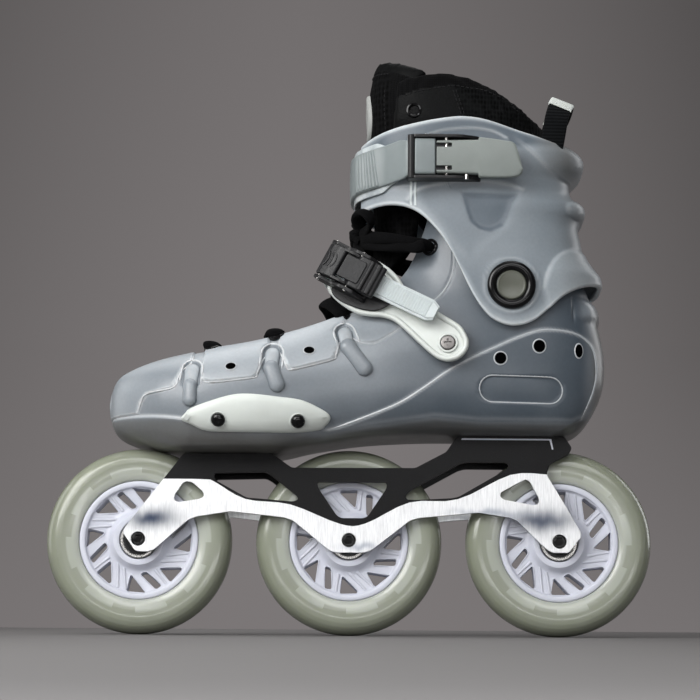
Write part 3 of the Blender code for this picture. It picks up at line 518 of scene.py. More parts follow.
def ramp(nt, fac, stops):
    r = nt.nodes.new("ShaderNodeValToRGB")
    e = r.color_ramp.elements
    while len(e) < len(stops):
        e.new(0.5)
    for el, (p, c) in zip(e, stops):
        el.position = p
        el.color = (*c, 1) if len(c) == 3 else c
    nt.links.new(fac, r.inputs["Fac"])
    return r.outputs["Color"]


def grey(v):
    return (v, v, v)


def mix(nt, fac, a, b, mode="MIX"):
    n = nt.nodes.new("ShaderNodeMix")
    n.data_type = "RGBA"
    n.blend_type = mode
    n.clamp_factor = True
    ins = {"fac": n.inputs[0], "a": n.inputs[6], "b": n.inputs[7]}
    for key, val in (("fac", fac), ("a", a), ("b", b)):
        if isinstance(val, bpy.types.NodeSocket):
            nt.links.new(val, ins[key])
        elif key == "fac":
            ins[key].default_value = val
        else:
            ins[key].default_value = (*val, 1)
    return n.outputs[2]


def math_node(nt, op, a, b=None, c=None):
    n = nt.nodes.new("ShaderNodeMath")
    n.operation = op
    for i, v in enumerate((a, b, c)):
        if v is None:
            continue
        if isinstance(v, bpy.types.NodeSocket):
            nt.links.new(v, n.inputs[i])
        else:
            n.inputs[i].default_value = v
    return n.outputs[0]


def attribute(nt, name):
    n = nt.nodes.new("ShaderNodeAttribute")
    n.attribute_name = name
    return n.outputs["Fac"]


def bump(nt, b, height, strength, dist, chain=None):
    n = nt.nodes.new("ShaderNodeBump")
    n.inputs["Strength"].default_value = strength
    n.inputs["Distance"].default_value = dist
    nt.links.new(height, n.inputs["Height"])
    if chain is not None:
        nt.links.new(chain, n.inputs["Normal"])
    nt.links.new(n.outputs["Normal"], b.inputs["Normal"])
    return n.outputs["Normal"]


def rough_from(nt, b, fac, lo, hi):
    mr = nt.nodes.new("ShaderNodeMapRange")
    mr.inputs["To Min"].default_value = lo
    mr.inputs["To Max"].default_value = hi
    nt.links.new(fac, mr.inputs["Value"])
    nt.links.new(mr.outputs["Result"], b.inputs["Roughness"])


def frosted(name, light, deep, edge, rough=0.36):
    """Frosted plastic over a dark liner: deep where the liner is close behind, pale where the wall stands free or is
    thick; lite paints highlights in the edge colour, low paints shade and hole paints the dark shade of holes.
    """
    m, nt, b = material(name, light, rough, Subsurface_Weight=0.30, Subsurface_Scale=0.004, Coat_Weight=0.12, Coat_Roughness=0.22)
    b.inputs["Subsurface Radius"].default_value = (0.8, 1.0, 1.1)
    cloud = noise(nt, 34, 3.0)
    dk = math_node(nt, "ADD", attribute(nt, "deep"), math_node(nt, "MULTIPLY_ADD", cloud, 0.16, -0.08))
    col = mix(nt, dk, light, deep)
    # painted highlight: lite mixes in the pale edge colour
    col = mix(nt, attribute(nt, "lite"), col, edge)
    # painted shade: low mixes in a dark warm tone
    col = mix(nt, attribute(nt, "low"), col, (0.118, 0.114, 0.104))
    # painted shade: hole mixes in near black inside holes
    col = mix(nt, attribute(nt, "hole"), col, (0.004, 0.004, 0.0045))
    fine = noise(nt, 620, 2.0)
    col = mix(nt, 0.07, col, ramp(nt, fine, [(0.35, grey(0.25)), (0.65, grey(1.0))]), "MULTIPLY")
    nt.links.new(col, b.inputs["Base Color"])
    rough_from(nt, b, noise(nt, 90, 4.0), rough - 0.07, rough + 0.09)
    bump(nt, b, noise(nt, 1500, 2.0), 0.10, 0.0002)
    return m


M = {}
# colours: light, deep, then the edge colour of the painted highlights
M["shell"] = frosted("shell_plastic", (0.42, 0.455, 0.485), (0.066, 0.085, 0.106), (0.66, 0.69, 0.71))
M["cuff"] = frosted("cuff_plastic", (0.42, 0.465, 0.495), (0.098, 0.125, 0.152), (0.60, 0.64, 0.66), rough=0.42)


def urethane():
    m, nt, b = material("wheel_urethane", (0.40, 0.43, 0.36), 0.22, Subsurface_Weight=0.50, Subsurface_Scale=0.012, Coat_Weight=0.15, Coat_Roughness=0.16)
    b.inputs["Subsurface Radius"].default_value = (1.0, 1.05, 0.75)
    co = coords(nt)
    sep = nt.nodes.new("ShaderNodeSeparateXYZ")
    nt.links.new(co, sep.inputs[0])
    x, z = sep.outputs["X"], sep.outputs["Z"]
    r = math_node(nt, "SQRT", math_node(nt, "ADD", math_node(nt, "MULTIPLY", x, x), math_node(nt, "MULTIPLY", z, z)))
    ang = math_node(nt, "ARCTAN2", z, x)
    lug = math_node(nt, "SINE", math_node(nt, "MULTIPLY", ang, 8.0))
    lug = math_node(nt, "GREATER_THAN", lug, -0.25)
    reach = math_node(nt, "MULTIPLY_ADD", lug, 0.0032, 0.0402)
    inside = math_node(nt, "MULTIPLY", math_node(nt, "SUBTRACT", reach, r), 900.0)
    inside = math_node(nt, "MAXIMUM", math_node(nt, "MINIMUM", inside, 1.0), 0.0)
    rr = nt.nodes.new("ShaderNodeMapRange")
    rr.inputs["From Min"].default_value = 0.036
    rr.inputs["From Max"].default_value = 0.055
    nt.links.new(r, rr.inputs["Value"])
    body = ramp(nt, rr.outputs["Result"], [(0.0, (0.36, 0.38, 0.325)), (0.45, (0.295, 0.315, 0.255)), (1.0, (0.225, 0.242, 0.185))])
    body = mix(nt, 0.12, body, ramp(nt, noise(nt, 60, 3.0), [(0.3, grey(0.6)), (0.7, grey(1.0))]), "MULTIPLY")
    col = mix(nt, math_node(nt, "MULTIPLY", inside, 0.50), body, (0.52, 0.55, 0.50))
    nt.links.new(col, b.inputs["Base Color"])
    rough_from(nt, b, noise(nt, 130, 4.0), 0.12, 0.26)
    bump(nt, b, noise(nt, 260, 3.0), 0.06, 0.0004)
    return m


M["urethane"] = urethane()


def clear_pad():
    m, nt, b = material("clear_pad", (0.55, 0.60, 0.61), 0.30, Subsurface_Weight=0.35, Subsurface_Scale=0.004, Coat_Weight=0.3, Coat_Roughness=0.2)
    b.inputs["Subsurface Radius"].default_value = (1.0, 1.0, 0.9)
    nt.links.new(ramp(nt, noise(nt, 120, 5.0), [(0.35, (0.32, 0.36, 0.38)), (0.6, (0.52, 0.57, 0.58)), (0.75, (0.68, 0.72, 0.71))]), b.inputs["Base Color"])
    bump(nt, b, noise(nt, 260, 4.0), 0.3, 0.0006)
    return m


M["cuff_clear"] = clear_pad()


def plastic(name, color, rough, grain=900, strength=0.12, vary=0.10, sss=0.0, coat=0.0, spec=0.5):
    m, nt, b = material(name, color, rough, Subsurface_Weight=sss, Subsurface_Scale=0.004, Coat_Weight=coat, Coat_Roughness=0.15, Specular_IOR_Level=spec)
    b.inputs["Subsurface Radius"].default_value = (1.0, 1.0, 0.9)
    dark = tuple(c * (1 - vary) for c in color)
    lite = tuple(min(1, c * (1 + vary)) for c in color)
    nt.links.new(ramp(nt, noise(nt, 70, 4.0), [(0.3, dark), (0.7, lite)]), b.inputs["Base Color"])
    rough_from(nt, b, noise(nt, 180, 4.0), rough * 0.85, rough * 1.15)
    bump(nt, b, noise(nt, grain, 3.0), strength, 0.0003)
    return m


M["core"] = plastic("core_nylon", (0.60, 0.62, 0.70), 0.42, 700, 0.08, 0.04, sss=0.25)
M["pale"] = plastic("pale_nylon", (0.66, 0.70, 0.665), 0.40, 800, 0.08, 0.04, sss=0.30)
M["pale_clear"] = plastic("pale_strap", (0.545, 0.60, 0.605), 0.34, 800, 0.08, 0.04, sss=0.40)
M["lever"] = plastic("lever_nylon", (0.215, 0.240, 0.228), 0.42, 800, 0.08, 0.05, sss=0.25)
M["strap_clear"] = plastic("strap_nylon", (0.205, 0.236, 0.240), 0.38, 800, 0.08, 0.05, sss=0.30)
M["black"] = plastic("black_nylon", (0.010, 0.010, 0.011), 0.38, 1300, 0.25, 0.3, spec=0.35)
M["gloss"] = plastic("black_gloss", (0.0028, 0.0028, 0.0032), 0.17, 400, 0.02, 0.2, spec=0.33)
# painted shade: a flat near black for the inside of holes
M["void"] = plastic("painted_hole_shade", (0.0015, 0.0015, 0.0016), 1.0, 300, 0.02, 0.3, spec=0.0)
M["cap"] = plastic("pivot_cap_plastic", (0.085, 0.09, 0.07), 0.33, 800, 0.05, 0.08)
M["badge"] = plastic("badge_rubber", (0.30, 0.31, 0.30), 0.5, 800, 0.1, 0.12)
M["hole"] = plastic("hole_shadow", (0.004, 0.004, 0.0045), 0.8, 300, 0.02, 0.1)


def metal(name, color, rough, scale=120, stretch=(1, 1, 1), strength=0.1, vary=0.12):
    m, nt, b = material(name, color, rough, 1.0)
    grain = noise(nt, scale, 5.0, stretch=stretch, rough=0.65)
    nt.links.new(ramp(nt, grain, [(0.25, tuple(c * (1 - vary) for c in color)), (0.75, color)]), b.inputs["Base Color"])
    rough_from(nt, b, grain, rough * 0.75, rough * 1.3)
    bump(nt, b, grain, strength, 0.0002)
    return m


M["steel"] = metal("plain_steel", (0.52, 0.51, 0.49), 0.26, 500, strength=0.05)


def aluminium():
    """Brushed face plate: grain across the legs, with dark bands above the wheel axles painted in as reflections."""
    m, nt, b = material("brushed_aluminium", (0.78, 0.79, 0.80), 0.40, 0.72)
    co = coords(nt)
    sep = nt.nodes.new("ShaderNodeSeparateXYZ")
    nt.links.new(co, sep.inputs[0])
    x, z = sep.outputs["X"], sep.outputs["Z"]
    grain = noise(nt, 640, 4.0, stretch=(2.6, 1.0, 0.16), rough=0.7)
    slow = noise(nt, 55, 3.0, stretch=(1.6, 1.0, 0.5))
    zz = math_node(nt, "ADD", z, math_node(nt, "MULTIPLY_ADD", slow, 0.010, -0.005))

    def bell(v, at, w):
        d = math_node(nt, "MULTIPLY", math_node(nt, "SUBTRACT", v, at), 1.0 / w)
        return math_node(nt, "EXPONENT", math_node(nt, "MULTIPLY", math_node(nt, "MULTIPLY", d, d), -1.0))

    # painted reflections: dark blue bands over the legs above the axles, and thinner blue-grey bands
    a = math_node(nt, "MULTIPLY", bell(zz, 0.0670, 0.0058), bell(x, -0.1165, 0.0150))
    c = math_node(nt, "MULTIPLY", bell(zz, 0.0672, 0.0060), bell(x, 0.1130, 0.0220))
    d = math_node(nt, "MULTIPLY", bell(zz, 0.0715, 0.0022), bell(x, 0.0820, 0.0200))
    e = math_node(nt, "MULTIPLY", bell(zz, 0.0505, 0.0022), bell(x, 0.0080, 0.0110))
    col = ramp(nt, grain, [(0.28, (0.64, 0.645, 0.655)), (0.55, (0.84, 0.85, 0.855)), (0.75, (0.94, 0.945, 0.95))])
    col = mix(nt, math_node(nt, "MULTIPLY", slow, 0.18), col, (0.40, 0.42, 0.45))
    col = mix(nt, math_node(nt, "MULTIPLY", math_node(nt, "MAXIMUM", a, math_node(nt, "MULTIPLY", c, 0.93)), 0.97), col, (0.018, 0.032, 0.070))
    col = mix(nt, math_node(nt, "MULTIPLY", math_node(nt, "ADD", d, e), 0.55), col, (0.12, 0.16, 0.24))
    nt.links.new(col, b.inputs["Base Color"])
    rough_from(nt, b, grain, 0.32, 0.50)
    bump(nt, b, grain, 0.22, 0.0002)
    return m


M["brushed"] = aluminium()
M["screw_grey"] = metal("grey_screw", (0.20, 0.19, 0.185), 0.40, 500, strength=0.1)


def anodised():
    m, nt, b = material("black_anodised", (0.012, 0.012, 0.013), 0.46, 0.1, Specular_IOR_Level=0.16)
    g = noise(nt, 1500, 3.0, rough=0.7)
    nt.links.new(ramp(nt, g, [(0.40, (0.004, 0.004, 0.0045)), (0.62, (0.009, 0.009, 0.0095)), (0.74, (0.035, 0.035, 0.037))]), b.inputs["Base Color"])
    rough_from(nt, b, noise(nt, 220, 4.0), 0.36, 0.52)
    bump(nt, b, g, 0.35, 0.0003)
    return m


M["anodised"] = anodised()


def knit(name, color, scale=520.0, sheen=0.03):
    """Spacer mesh: small open cells in staggered rows over a dark ground."""
    m, nt, b = material(name, color, 0.85, Sheen_Weight=sheen, Sheen_Roughness=0.5, Specular_IOR_Level=0.05)
    co = coords(nt)
    mp = nt.nodes.new("ShaderNodeMapping")
    mp.inputs["Scale"].default_value = (1.0, 1.0, 0.62)
    nt.links.new(co, mp.inputs["Vector"])
    v = nt.nodes.new("ShaderNodeTexVoronoi")
    v.inputs["Scale"].default_value = scale
    v.inputs["Randomness"].default_value = 0.32
    nt.links.new(mp.outputs["Vector"], v.inputs["Vector"])
    d = v.outputs["Distance"]
    nt.links.new(ramp(nt, d, [(0.18, tuple(c * 0.22 for c in color)), (0.45, color), (0.75, tuple(c * 1.9 for c in color))]), b.inputs["Base Color"])
    bump(nt, b, d, 0.9, 0.0006)
    return m


def cloth(name, color, scale=900.0, sheen=0.03, rough=0.85):
    """Smooth woven fabric with a fine thread grain."""
    m, nt, b = material(name, color, rough, Sheen_Weight=sheen, Sheen_Roughness=0.45, Specular_IOR_Level=0.05)
    co = coords(nt)
    heights = []
    for axis in ("X", "Y", "Z"):
        w = nt.nodes.new("ShaderNodeTexWave")
        w.wave_type = "BANDS"
        w.bands_direction = axis
        w.inputs["Scale"].default_value = scale / 3.2
        w.inputs["Distortion"].default_value = 1.2
        w.inputs["Detail"].default_value = 1.0
        nt.links.new(co, w.inputs["Vector"])
        heights.append(w.outputs["Fac"])
    h = math_node(nt, "ADD", math_node(nt, "MULTIPLY", heights[0], heights[2]), math_node(nt, "MULTIPLY", heights[1], 0.4))
    nt.links.new(ramp(nt, h, [(0.1, tuple(c * 0.55 for c in color)), (0.9, tuple(c * 1.35 for c in color))]), b.inputs["Base Color"])
    bump(nt, b, h, 0.5, 0.0003)
    return m


def leather(name, color):
    m, nt, b = material(name, color, 0.48, Sheen_Weight=0.0, Specular_IOR_Level=0.07)
    v = nt.nodes.new("ShaderNodeTexVoronoi")
    v.inputs["Scale"].default_value = 900
    nt.links.new(coords(nt), v.inputs["Vector"])
    n = noise(nt, 240, 5.0)
    nt.links.new(ramp(nt, n, [(0.3, tuple(c * 0.7 for c in color)), (0.7, tuple(c * 1.3 for c in color))]), b.inputs["Base Color"])
    rough_from(nt, b, n, 0.40, 0.58)
    bump(nt, b, math_node(nt, "ADD", v.outputs["Distance"], math_node(nt, "MULTIPLY", n, 1.5)), 0.28, 0.0004)
    return m


def ribbed(name, color, axis, scale, rough=0.75, sheen=0.04):
    """Woven tape with ribs across it."""
    m, nt, b = material(name, color, rough, Sheen_Weight=sheen, Sheen_Roughness=0.4, Specular_IOR_Level=0.05)
    w = nt.nodes.new("ShaderNodeTexWave")
    w.wave_type = "BANDS"
    w.bands_direction = axis
    w.inputs["Scale"].default_value = scale
    w.inputs["Distortion"].default_value = 0.6
    w.inputs["Detail"].default_value = 1.0
    w.inputs["Detail Scale"].default_value = 4.0
    nt.links.new(coords(nt), w.inputs["Vector"])
    n = noise(nt, 2400, 2.0)
    h = math_node(nt, "ADD", w.outputs["Fac"], math_node(nt, "MULTIPLY", n, 0.6))
    nt.links.new(ramp(nt, h, [(0.25, tuple(c * 0.5 for c in color)), (1.2, tuple(c * 1.5 for c in color))]), b.inputs["Base Color"])
    bump(nt, b, h, 0.6, 0.0005)
    return m


M["knit"] = knit("knit_mesh", (0.0034, 0.0036, 0.0038), sheen=0.012)
M["tongue_knit"] = knit("tongue_mesh", (0.0026, 0.0026, 0.0028), 430, sheen=0.004)
M["panel"] = leather("smooth_panel", (0.0024, 0.0026, 0.0028))
M["binding"] = cloth("binding_fabric", (0.0042, 0.0042, 0.0045), 900, 0.01)
M["lace"] = cloth("lace_cord", (0.0036, 0.0036, 0.004), 1500, 0.01)
M["webbing"] = ribbed("loop_webbing", (0.0036, 0.0040, 0.0046), "Z", 150, sheen=0.01)
M["lining"] = cloth("lining_fabric", (0.010, 0.010, 0.011), 700, 0.03)
M["insole"] = cloth("insole_felt", (0.050, 0.050, 0.054), 500, 0.1)
M["stitch"] = cloth("stitch_thread", (0.020, 0.020, 0.021), 2500, 0.03)

# ================================================================ boot sections
SHELL = [
    ((-142.0, 136.0), (-142.0, 136.0), 0.0, 0, 0.7),
    ((-140.6, 144.0), (-140.8, 126.0), 13.0, 0, 0.6),
    ((-136.5, 151.5), (-137.0, 119.0), 23.0, 0, 0.5),
    ((-127.0, 156.8), (-128.0, 114.5), 33.0, 0, 0.45),
    ((-112.0, 161.8), (-113.0, 109.8), 42.0, 0, 0.42),
    ((-92.0, 166.2), (-98.0, 106.4), 48.0, 0, 0.38),
    ((-87.5, 167.1), (-90.0, 106.4), 49.2, 16, 0.36),
    ((-76.0, 169.6), (-76.0, 106.4), 50.4, 27, 0.36),
    ((-58.0, 173.4), (-58.0, 106.4), 50.8, 30, 0.36),
    ((-42.0, 178.0), (-44.0, 106.4), 49.8, 31, 0.36),
    ((-26.0, 183.4), (-18.0, 111.5), 47.8, 32, 0.38),
    ((-10.0, 190.3), (14.0, 116.2), 45.6, 33, 0.38),
    ((6.0, 198.6), (46.0, 118.0), 44.0, 34, 0.38),
    ((18.0, 207.2), (78.0, 118.0), 43.2, 35, 0.36),
    ((27.0, 216.3), (108.0, 118.0), 42.8, 36, 0.37),
    ((32.5, 224.8), (133.0, 119.5), 42.8, 37, 0.42),
    ((36.3, 233.5), (147.5, 138.0), 43.2, 38, 0.52),
    ((38.6, 240.0), (151.5, 160.0), 43.6, 39, 0.58),
    ((40.3, 245.0), (147.5, 184.0), 43.6, 40, 0.62),
    ((41.5, 249.0), (138.5, 210.0), 43.0, 41, 0.64),
    ((42.5, 253.0), (125.0, 236.5), 41.6, 42, 0.64),
]
P_TOP = 0.66
LINER_ROWS = list(SHELL)
# the ankle flaps of the shell reach further forward than the liner behind them
FLAPS = {12: 32, 13: 28.5, 14: 25, 15: 23, 16: 22, 17: 22, 18: 23, 19: 24, 20: 25}
SHELL = [(t_, b_, h_, FLAPS.get(i, a_), p_) for i, (t_, b_, h_, a_, p_) in enumerate(SHELL)]


def ring_points(T, B, H, phi, p_top, p_bottom, bulge=0.0):
    """Arrays: ring on a chord from T to B; phi 0 at T, down the outer side to pi at B."""
    c, s_ = np.cos(phi), np.sin(phi)
    s = (1 - c) / 2
    # the two exponents melt into each other near the widest point
    w = sstep(-0.25, 0.25, c)
    p = p_top * w + p_bottom * (1 - w)
    y = H * np.sign(s_) * np.abs(s_) ** p
    x = T[0] + (B[0] - T[0]) * s
    z = T[1] + (B[1] - T[1]) * s + bulge * np.sin(math.pi * s)
    return x, -y, z


def sway(x):
    f = np.clip((-x - 20.0) / 120.0, 0, 1)
    return 5.0 * f * f


def shell_grid(nu, nv, rows=SHELL, soften=True):
    tab = [[r[0][0], r[0][1], r[1][0], r[1][1], r[2], r[3], r[4]] for r in rows]
    # rows crowd towards the toe, where the sections change fast
    u = np.linspace(0, 1, nu)
    u = (len(rows) - 1) * (0.72 * u + 0.28 * u * u)
    A = cat_rows(tab, u)
    A[:, 4] = np.maximum(A[:, 4], 0)
    first = u < 1
    A[first, 4] = 13.0 * np.sqrt(np.clip(1 - (1 - u[first]) ** 2, 0, 1)) * (0.0 + 1.0)
    start = np.interp(u, range(len(rows)), [r[3] for r in rows])
    k = 5.0
    f = np.clip(u - k, 0, 1)
    start = np.where(u <= k, 0, np.where(u < k + 1, 16.0 * np.sqrt(1 - (1 - f) ** 2), start))
    P = np.zeros((nu, nv, 3))
    q = np.linspace(0, 1, nv)
    q = np.interp(q, [0, 0.42, 0.58, 1], [0, 0.355, 0.645, 1]) if nv > 100 else q
    for i in range(nu):
        a0 = math.radians(start[i])
        phi = a0 + (2 * math.pi - 2 * a0) * q
        x, y, z = ring_points((A[i, 0], A[i, 1]), (A[i, 2], A[i, 3]), A[i, 4], phi, P_TOP, A[i, 6])
        P[i, :, 0], P[i, :, 1], P[i, :, 2] = x, y + sway(x), z
    return P, start


NU, NV = 300, 300
P, START = shell_grid(NU, NV)
N = grid_normals(P)
if (N[NU // 2, NV // 4, 1] > 0):
    N = -N
N[0] = (-1, 0, 0)
# closed rows have the same first and last column
closed = START <= 0.01
N[closed, 0] = N[closed, -1] = (N[closed, 0] + N[closed, -1])
N /= np.maximum(np.linalg.norm(N, axis=2, keepdims=True), 1e-9)
SHELL_P, SHELL_N = P, N
X, Y, Z = P[..., 0], P[..., 1], P[..., 2]
sidew = sstep(0.15, 0.5, np.abs(N[..., 1]))
outer_side = (Y < 0)

BUMPER = curve2([(-150, 127.5), (-140.2, 126.8), (-115.7, 125.6), (-95.8, 123.1), (-77.6, 119.6), (-50.2, 116.3), (-28, 116.0), (-12, 117.8), (-3.2, 120.5)])
TOECAP = [(-124.6, 127.3), (-122.6, 133.7), (-119.1, 138.4), (-103.5, 141.2), (-100.4, 147.5), (-98.4, 151.8), (-94.3, 155.4), (-92.5, 159), (-92, 172), (-150, 172), (-150, 127)]
PANEL1 = [(-85.3, 175), (-85.6, 157), (-87.0, 150.6), (-85.4, 145.2), (-81.0, 143.6), (-56.8, 146.2), (-54.3, 148.6), (-51.3, 156.7), (-48.0, 161.5), (-46.8, 185)]
PANEL2 = [(-41.8, 185), (-41.4, 162.8), (-39.0, 158.0), (-36.9, 153.2), (-33.7, 151.5), (-10.6, 157.8), (-8.4, 160.4), (-7.2, 165.0), (-5.2, 171.5), (-3.2, 178), (-3.0, 200)]
CAPS = [((-93.3, 142.4), (-93.5, 133.6), 4.1), ((-46.2, 152.6), (-42.6, 142.4), 4.7), ((-1.6, 166.4), (8.4, 153.0), 4.8)]
COLLARS = [((-92.3, 152.0), (-93.2, 145.0), 6.3), ((-45.4, 161.5), (-46.2, 154.0), 6.6), ((-3.4, 174.5), (-0.8, 168.0), 6.4)]
RIDGE = curve2([(-14, 117.5), (-3.2, 120.5), (26.1, 131.9), (41.9, 141.3), (58.2, 152.7), (71.1, 159.9), (82.8, 165.3), (100.0, 173.0), (112.1, 176.8), (123.9, 176.9), (133.2, 175.2), (140.3, 171.1), (144.1, 164.3), (145.2, 152.4), (142.6, 140.4), (136.3, 126.7)])
RIDGE_IN = RIDGE + [(120, 117), (60, 100), (-14, 100)]
SEAM = curve2([(-2.8, 180.7), (-1.2, 175.0), (2.6, 170.6), (9.1, 168.2), (17.2, 169.8), (30.0, 178.5), (44.7, 191.2), (54.7, 200.6), (59.9, 211.6), (60.5, 224.8), (58.5, 240), (56, 252)])
BADGE_A, BADGE_B, BADGE_R = (83.6, 142.2), (117.0, 141.6), 7.7
VENTS = [(-69.7, 153.1, 2.9, 2.3), (-24.0, 163.2, 3.0, 2.3), (88.1, 159.9, 3.4, 3.4), (110.9, 167.3, 3.4, 3.6), (134.4, 165.5, 2.4, 3.8)]

d_bump = seg_dist(X, Z, BUMPER)
below = Z < np.interp(X, [p[0] for p in BUMPER], [p[1] for p in BUMPER])
disp = np.zeros_like(X)
fade_mid = 1 - sstep(-60, -20, X)
disp += 1.1 * np.where(below, sstep(0, 1.2, d_bump), 0) * (1 - sstep(-55, -25, X)) * sstep(106.5, 110, Z)
sd_toe = poly_sd(X, Z, TOECAP)
top_free = np.maximum(sidew, sstep(-99, -101, X))
disp += 1.2 * sstep(0.5, -0.5, sd_toe) * (~below | (X > -100))
sd1, sd2 = poly_sd(X, Z, PANEL1), poly_sd(X, Z, PANEL2)
disp += 1.9 * sstep(0.5, -0.6, sd1) + 1.9 * sstep(0.5, -0.6, sd2)
sdr = poly_sd(X, Z, RIDGE_IN)
disp += 0.9 * sstep(0.4, -0.6, sdr) * sstep(114, 120, Z)
d_ridge = seg_dist(X, Z, RIDGE)
disp += 0.35 * np.exp(-(d_ridge / 0.9) ** 2) * sidew
d_seam = seg_dist(X, Z, SEAM)
disp += -0.9 * np.exp(-(d_seam / 0.7) ** 2) * sidew
for (a, b, r) in COLLARS:
    d = seg_dist(X, Z, [a, b])
    disp = np.where(sidew > 0.2, disp * sstep(r - 1.2, r, d) - 0.8 * sstep(r - 0.2, r - 1.6, d), disp)
d_badge = seg_dist(X, Z, [BADGE_A, BADGE_B]) - BADGE_R
badge_side = (sidew > 0.2) & outer_side
disp = np.where(badge_side, disp - 0.9 * sstep(0.5, -0.5, d_badge), disp)
# rounded bump behind the heel and the slim heel edge
ang_back = sstep(128, 143, X)
hb = np.sqrt(np.clip(1 - ((Z - 191) / 6.4) ** 2, 0, 1)) * sstep(132, 141, X)
disp += 2.6 * hb
groove = curve2([(131, 184), (133.5, 197.5), (139, 200)])
disp += -0.8 * np.exp(-(seg_dist(X, Z, [(131.4, 184.5), (131.4, 197.2)]) / 0.8) ** 2) * sidew
hole = np.zeros_like(X)

# ---- shade values: deep where the liner is close behind, with painted light on top of it (faces turned upwards are made paler)
deep = 0.92 * np.ones_like(X)
deep *= 1 - 0.20 * sstep(-112, -126, X)
deep *= 1 - 0.18 * sstep(35, 5, X)
deep += 0.06 * sstep(30, 60, X)
deep *= 1 - 0.12 * sstep(0.8, -0.8, sd_toe)
deep *= 1 - 0.60 * sstep(0.8, -0.8, sd1)
deep *= 1 - 0.62 * sstep(0.8, -0.8, sd2)
deep *= 1 - 0.75 * sstep(123, 110, Z + np.clip((-X - 40) / 60, -0.5, 1) * 2.0)
deep *= 1 - 0.55 * sstep(134, 148, X)
deep *= 1 - 0.18 * sstep(-20, -70, X)
deep *= 1 - 0.42 * np.exp(-((X - 2.0) / 42.0) ** 2) * sstep(128, 158, Z)
deep += 0.10 * sstep(126, 118, Z) * np.exp(-((X - 48.0) / 34.0) ** 2)
# painted light: faces turned upwards are made paler, as if lit from above
deep *= 1 - 0.75 * sstep(0.50, 0.85, N[..., 2])
deep *= 1 - 0.5 * hb
deep = np.where(badge_side, deep + 0.35 * sstep(0.5, -0.5, d_badge), deep)
# lite: painted highlights along the toe cap, the panel edges, the side ridge, the ankle seam and the bumper line
lite = np.zeros_like(X)
lite = np.maximum(lite, 0.85 * np.exp(-(np.abs(sd_toe) / 0.8) ** 2) * sidew * (X < -93))
lite = np.maximum(lite, 0.75 * np.exp(-(np.abs(sd1) / 0.8) ** 2) * (Z < 160))
lite = np.maximum(lite, 0.75 * np.exp(-(np.abs(sd2) / 0.8) ** 2) * (Z < 172))
lite = np.maximum(lite, 0.55 * np.exp(-(d_ridge / 0.8) ** 2) * sidew)
lite = np.maximum(lite, 0.35 * np.exp(-(d_seam / 1.1) ** 2) * sidew)
lite = np.maximum(lite, 0.6 * np.exp(-(d_bump / 0.9) ** 2) * (X < -95))
# painted shade: the recessed hoods are darkened, and lite is cleared inside them
for (a, b, r) in COLLARS:
    d = seg_dist(X, Z, [a, b])
    deep = np.maximum(deep, 0.70 * sstep(r, r - 1.2, d) * (sidew > 0.2))
    lite *= sstep(r - 1.5, r, d)
# low: painted shade, darker towards the bottom of the shell and low on the heel; lite adds a thin painted highlight
# just above the line
low_line = np.interp(X, [-140, -105, -60, -15, 10, 50, 75, 130, 146], [127.0, 124.5, 117.5, 115.5, 121.0, 126.5, 124.5, 124.5, 132.0])
low = 0.62 * sstep(low_line + 0.6, low_line - 3.5, Z) + 0.30 * sstep(low_line - 2, 108, Z)
low = np.maximum(low, 0.75 * sstep(139, 147, X) * sstep(205, 190, Z))
d_low = np.abs(Z - low_line)
lite = np.maximum(lite, 0.16 * np.exp(-((d_low - 1.0) / 1.2) ** 2) * sstep(-20, 0, X) * sidew)
shell_vis = wall("shell_wall", P, N, disp, 2.8, M["shell"], ends=(False, True), sides=True, closed_rows=closed,
                 attrs={"deep": np.clip(deep, 0, 1), "lite": np.clip(lite, 0, 1), "hole": hole, "low": low})
put(shell_vis, "boot", "shell", slot="shell")


def surface(obj):
    me = obj.data
    vs = [tuple(Vector(v.co) / MM + Vector(obj.location) / MM) for v in me.vertices]
    return BVHTree.FromPolygons(vs, [tuple(p.vertices) for p in me.polygons])


shell_tree = surface(shell_vis)


def on_side(tree, x, z, s=-1):
    h = tree.ray_cast(Vector((x, s * 140.0, z)), Vector((0, -s, 0)))
    return (h[0], h[1]) if h[0] is not None else (Vector((x, s * 45, z)), Vector((0, s, 0)))


# vent holes: a rolled edge with a painted highlight (lite) and painted dark shade in the hollow (hole)
for i, (vx, vz, ra, rb) in enumerate(VENTS):
    for s in (-1, 1):
        loc, nor = on_side(shell_tree, vx, vz, s)
        if nor.y * s < 0:
            nor = -nor
        side = Vector((1, 0, 0)) - nor * nor.x
        side.normalize()
        other = nor.cross(side)
        verts, faces = [], []
        prof = [(1.28, -0.35), (1.20, 0.10), (1.08, 0.26), (0.98, 0.16), (0.93, 0.02), (0.0, 0.02)]
        n = 28
        for k, (f, h) in enumerate(prof):
            for j in range(n):
                a = 2 * math.pi * j / n
                verts.append(tuple(loc + side * (ra * f * math.cos(a)) + other * (rb * f * math.sin(a)) + nor * (h + 0.15)))
        for k in range(len(prof) - 1):
            for j in range(n):
                faces.append((k * n + j, k * n + (j + 1) % n, (k + 1) * n + (j + 1) % n, (k + 1) * n + j))
        rad = np.repeat([0.0, 0.0, 0.0, 1.0, 1.0, 1.0], n)
        ob = to_object("vent_%d_%s" % (i + 1, "outer" if s < 0 else "inner"), verts, faces, M["shell"], merge=0.01, angle=50,
                       attrs={"deep": np.full(len(verts), 0.3), "lite": np.full(len(verts), 0.45), "hole": rad})
        put(ob, "boot", slot="shell")



def on_shell(x, z, s, tree=None):
    p, n = on_side(tree or shell_tree, x, z, s)
    n = -n if n.y * s < 0 else n
    return p, n


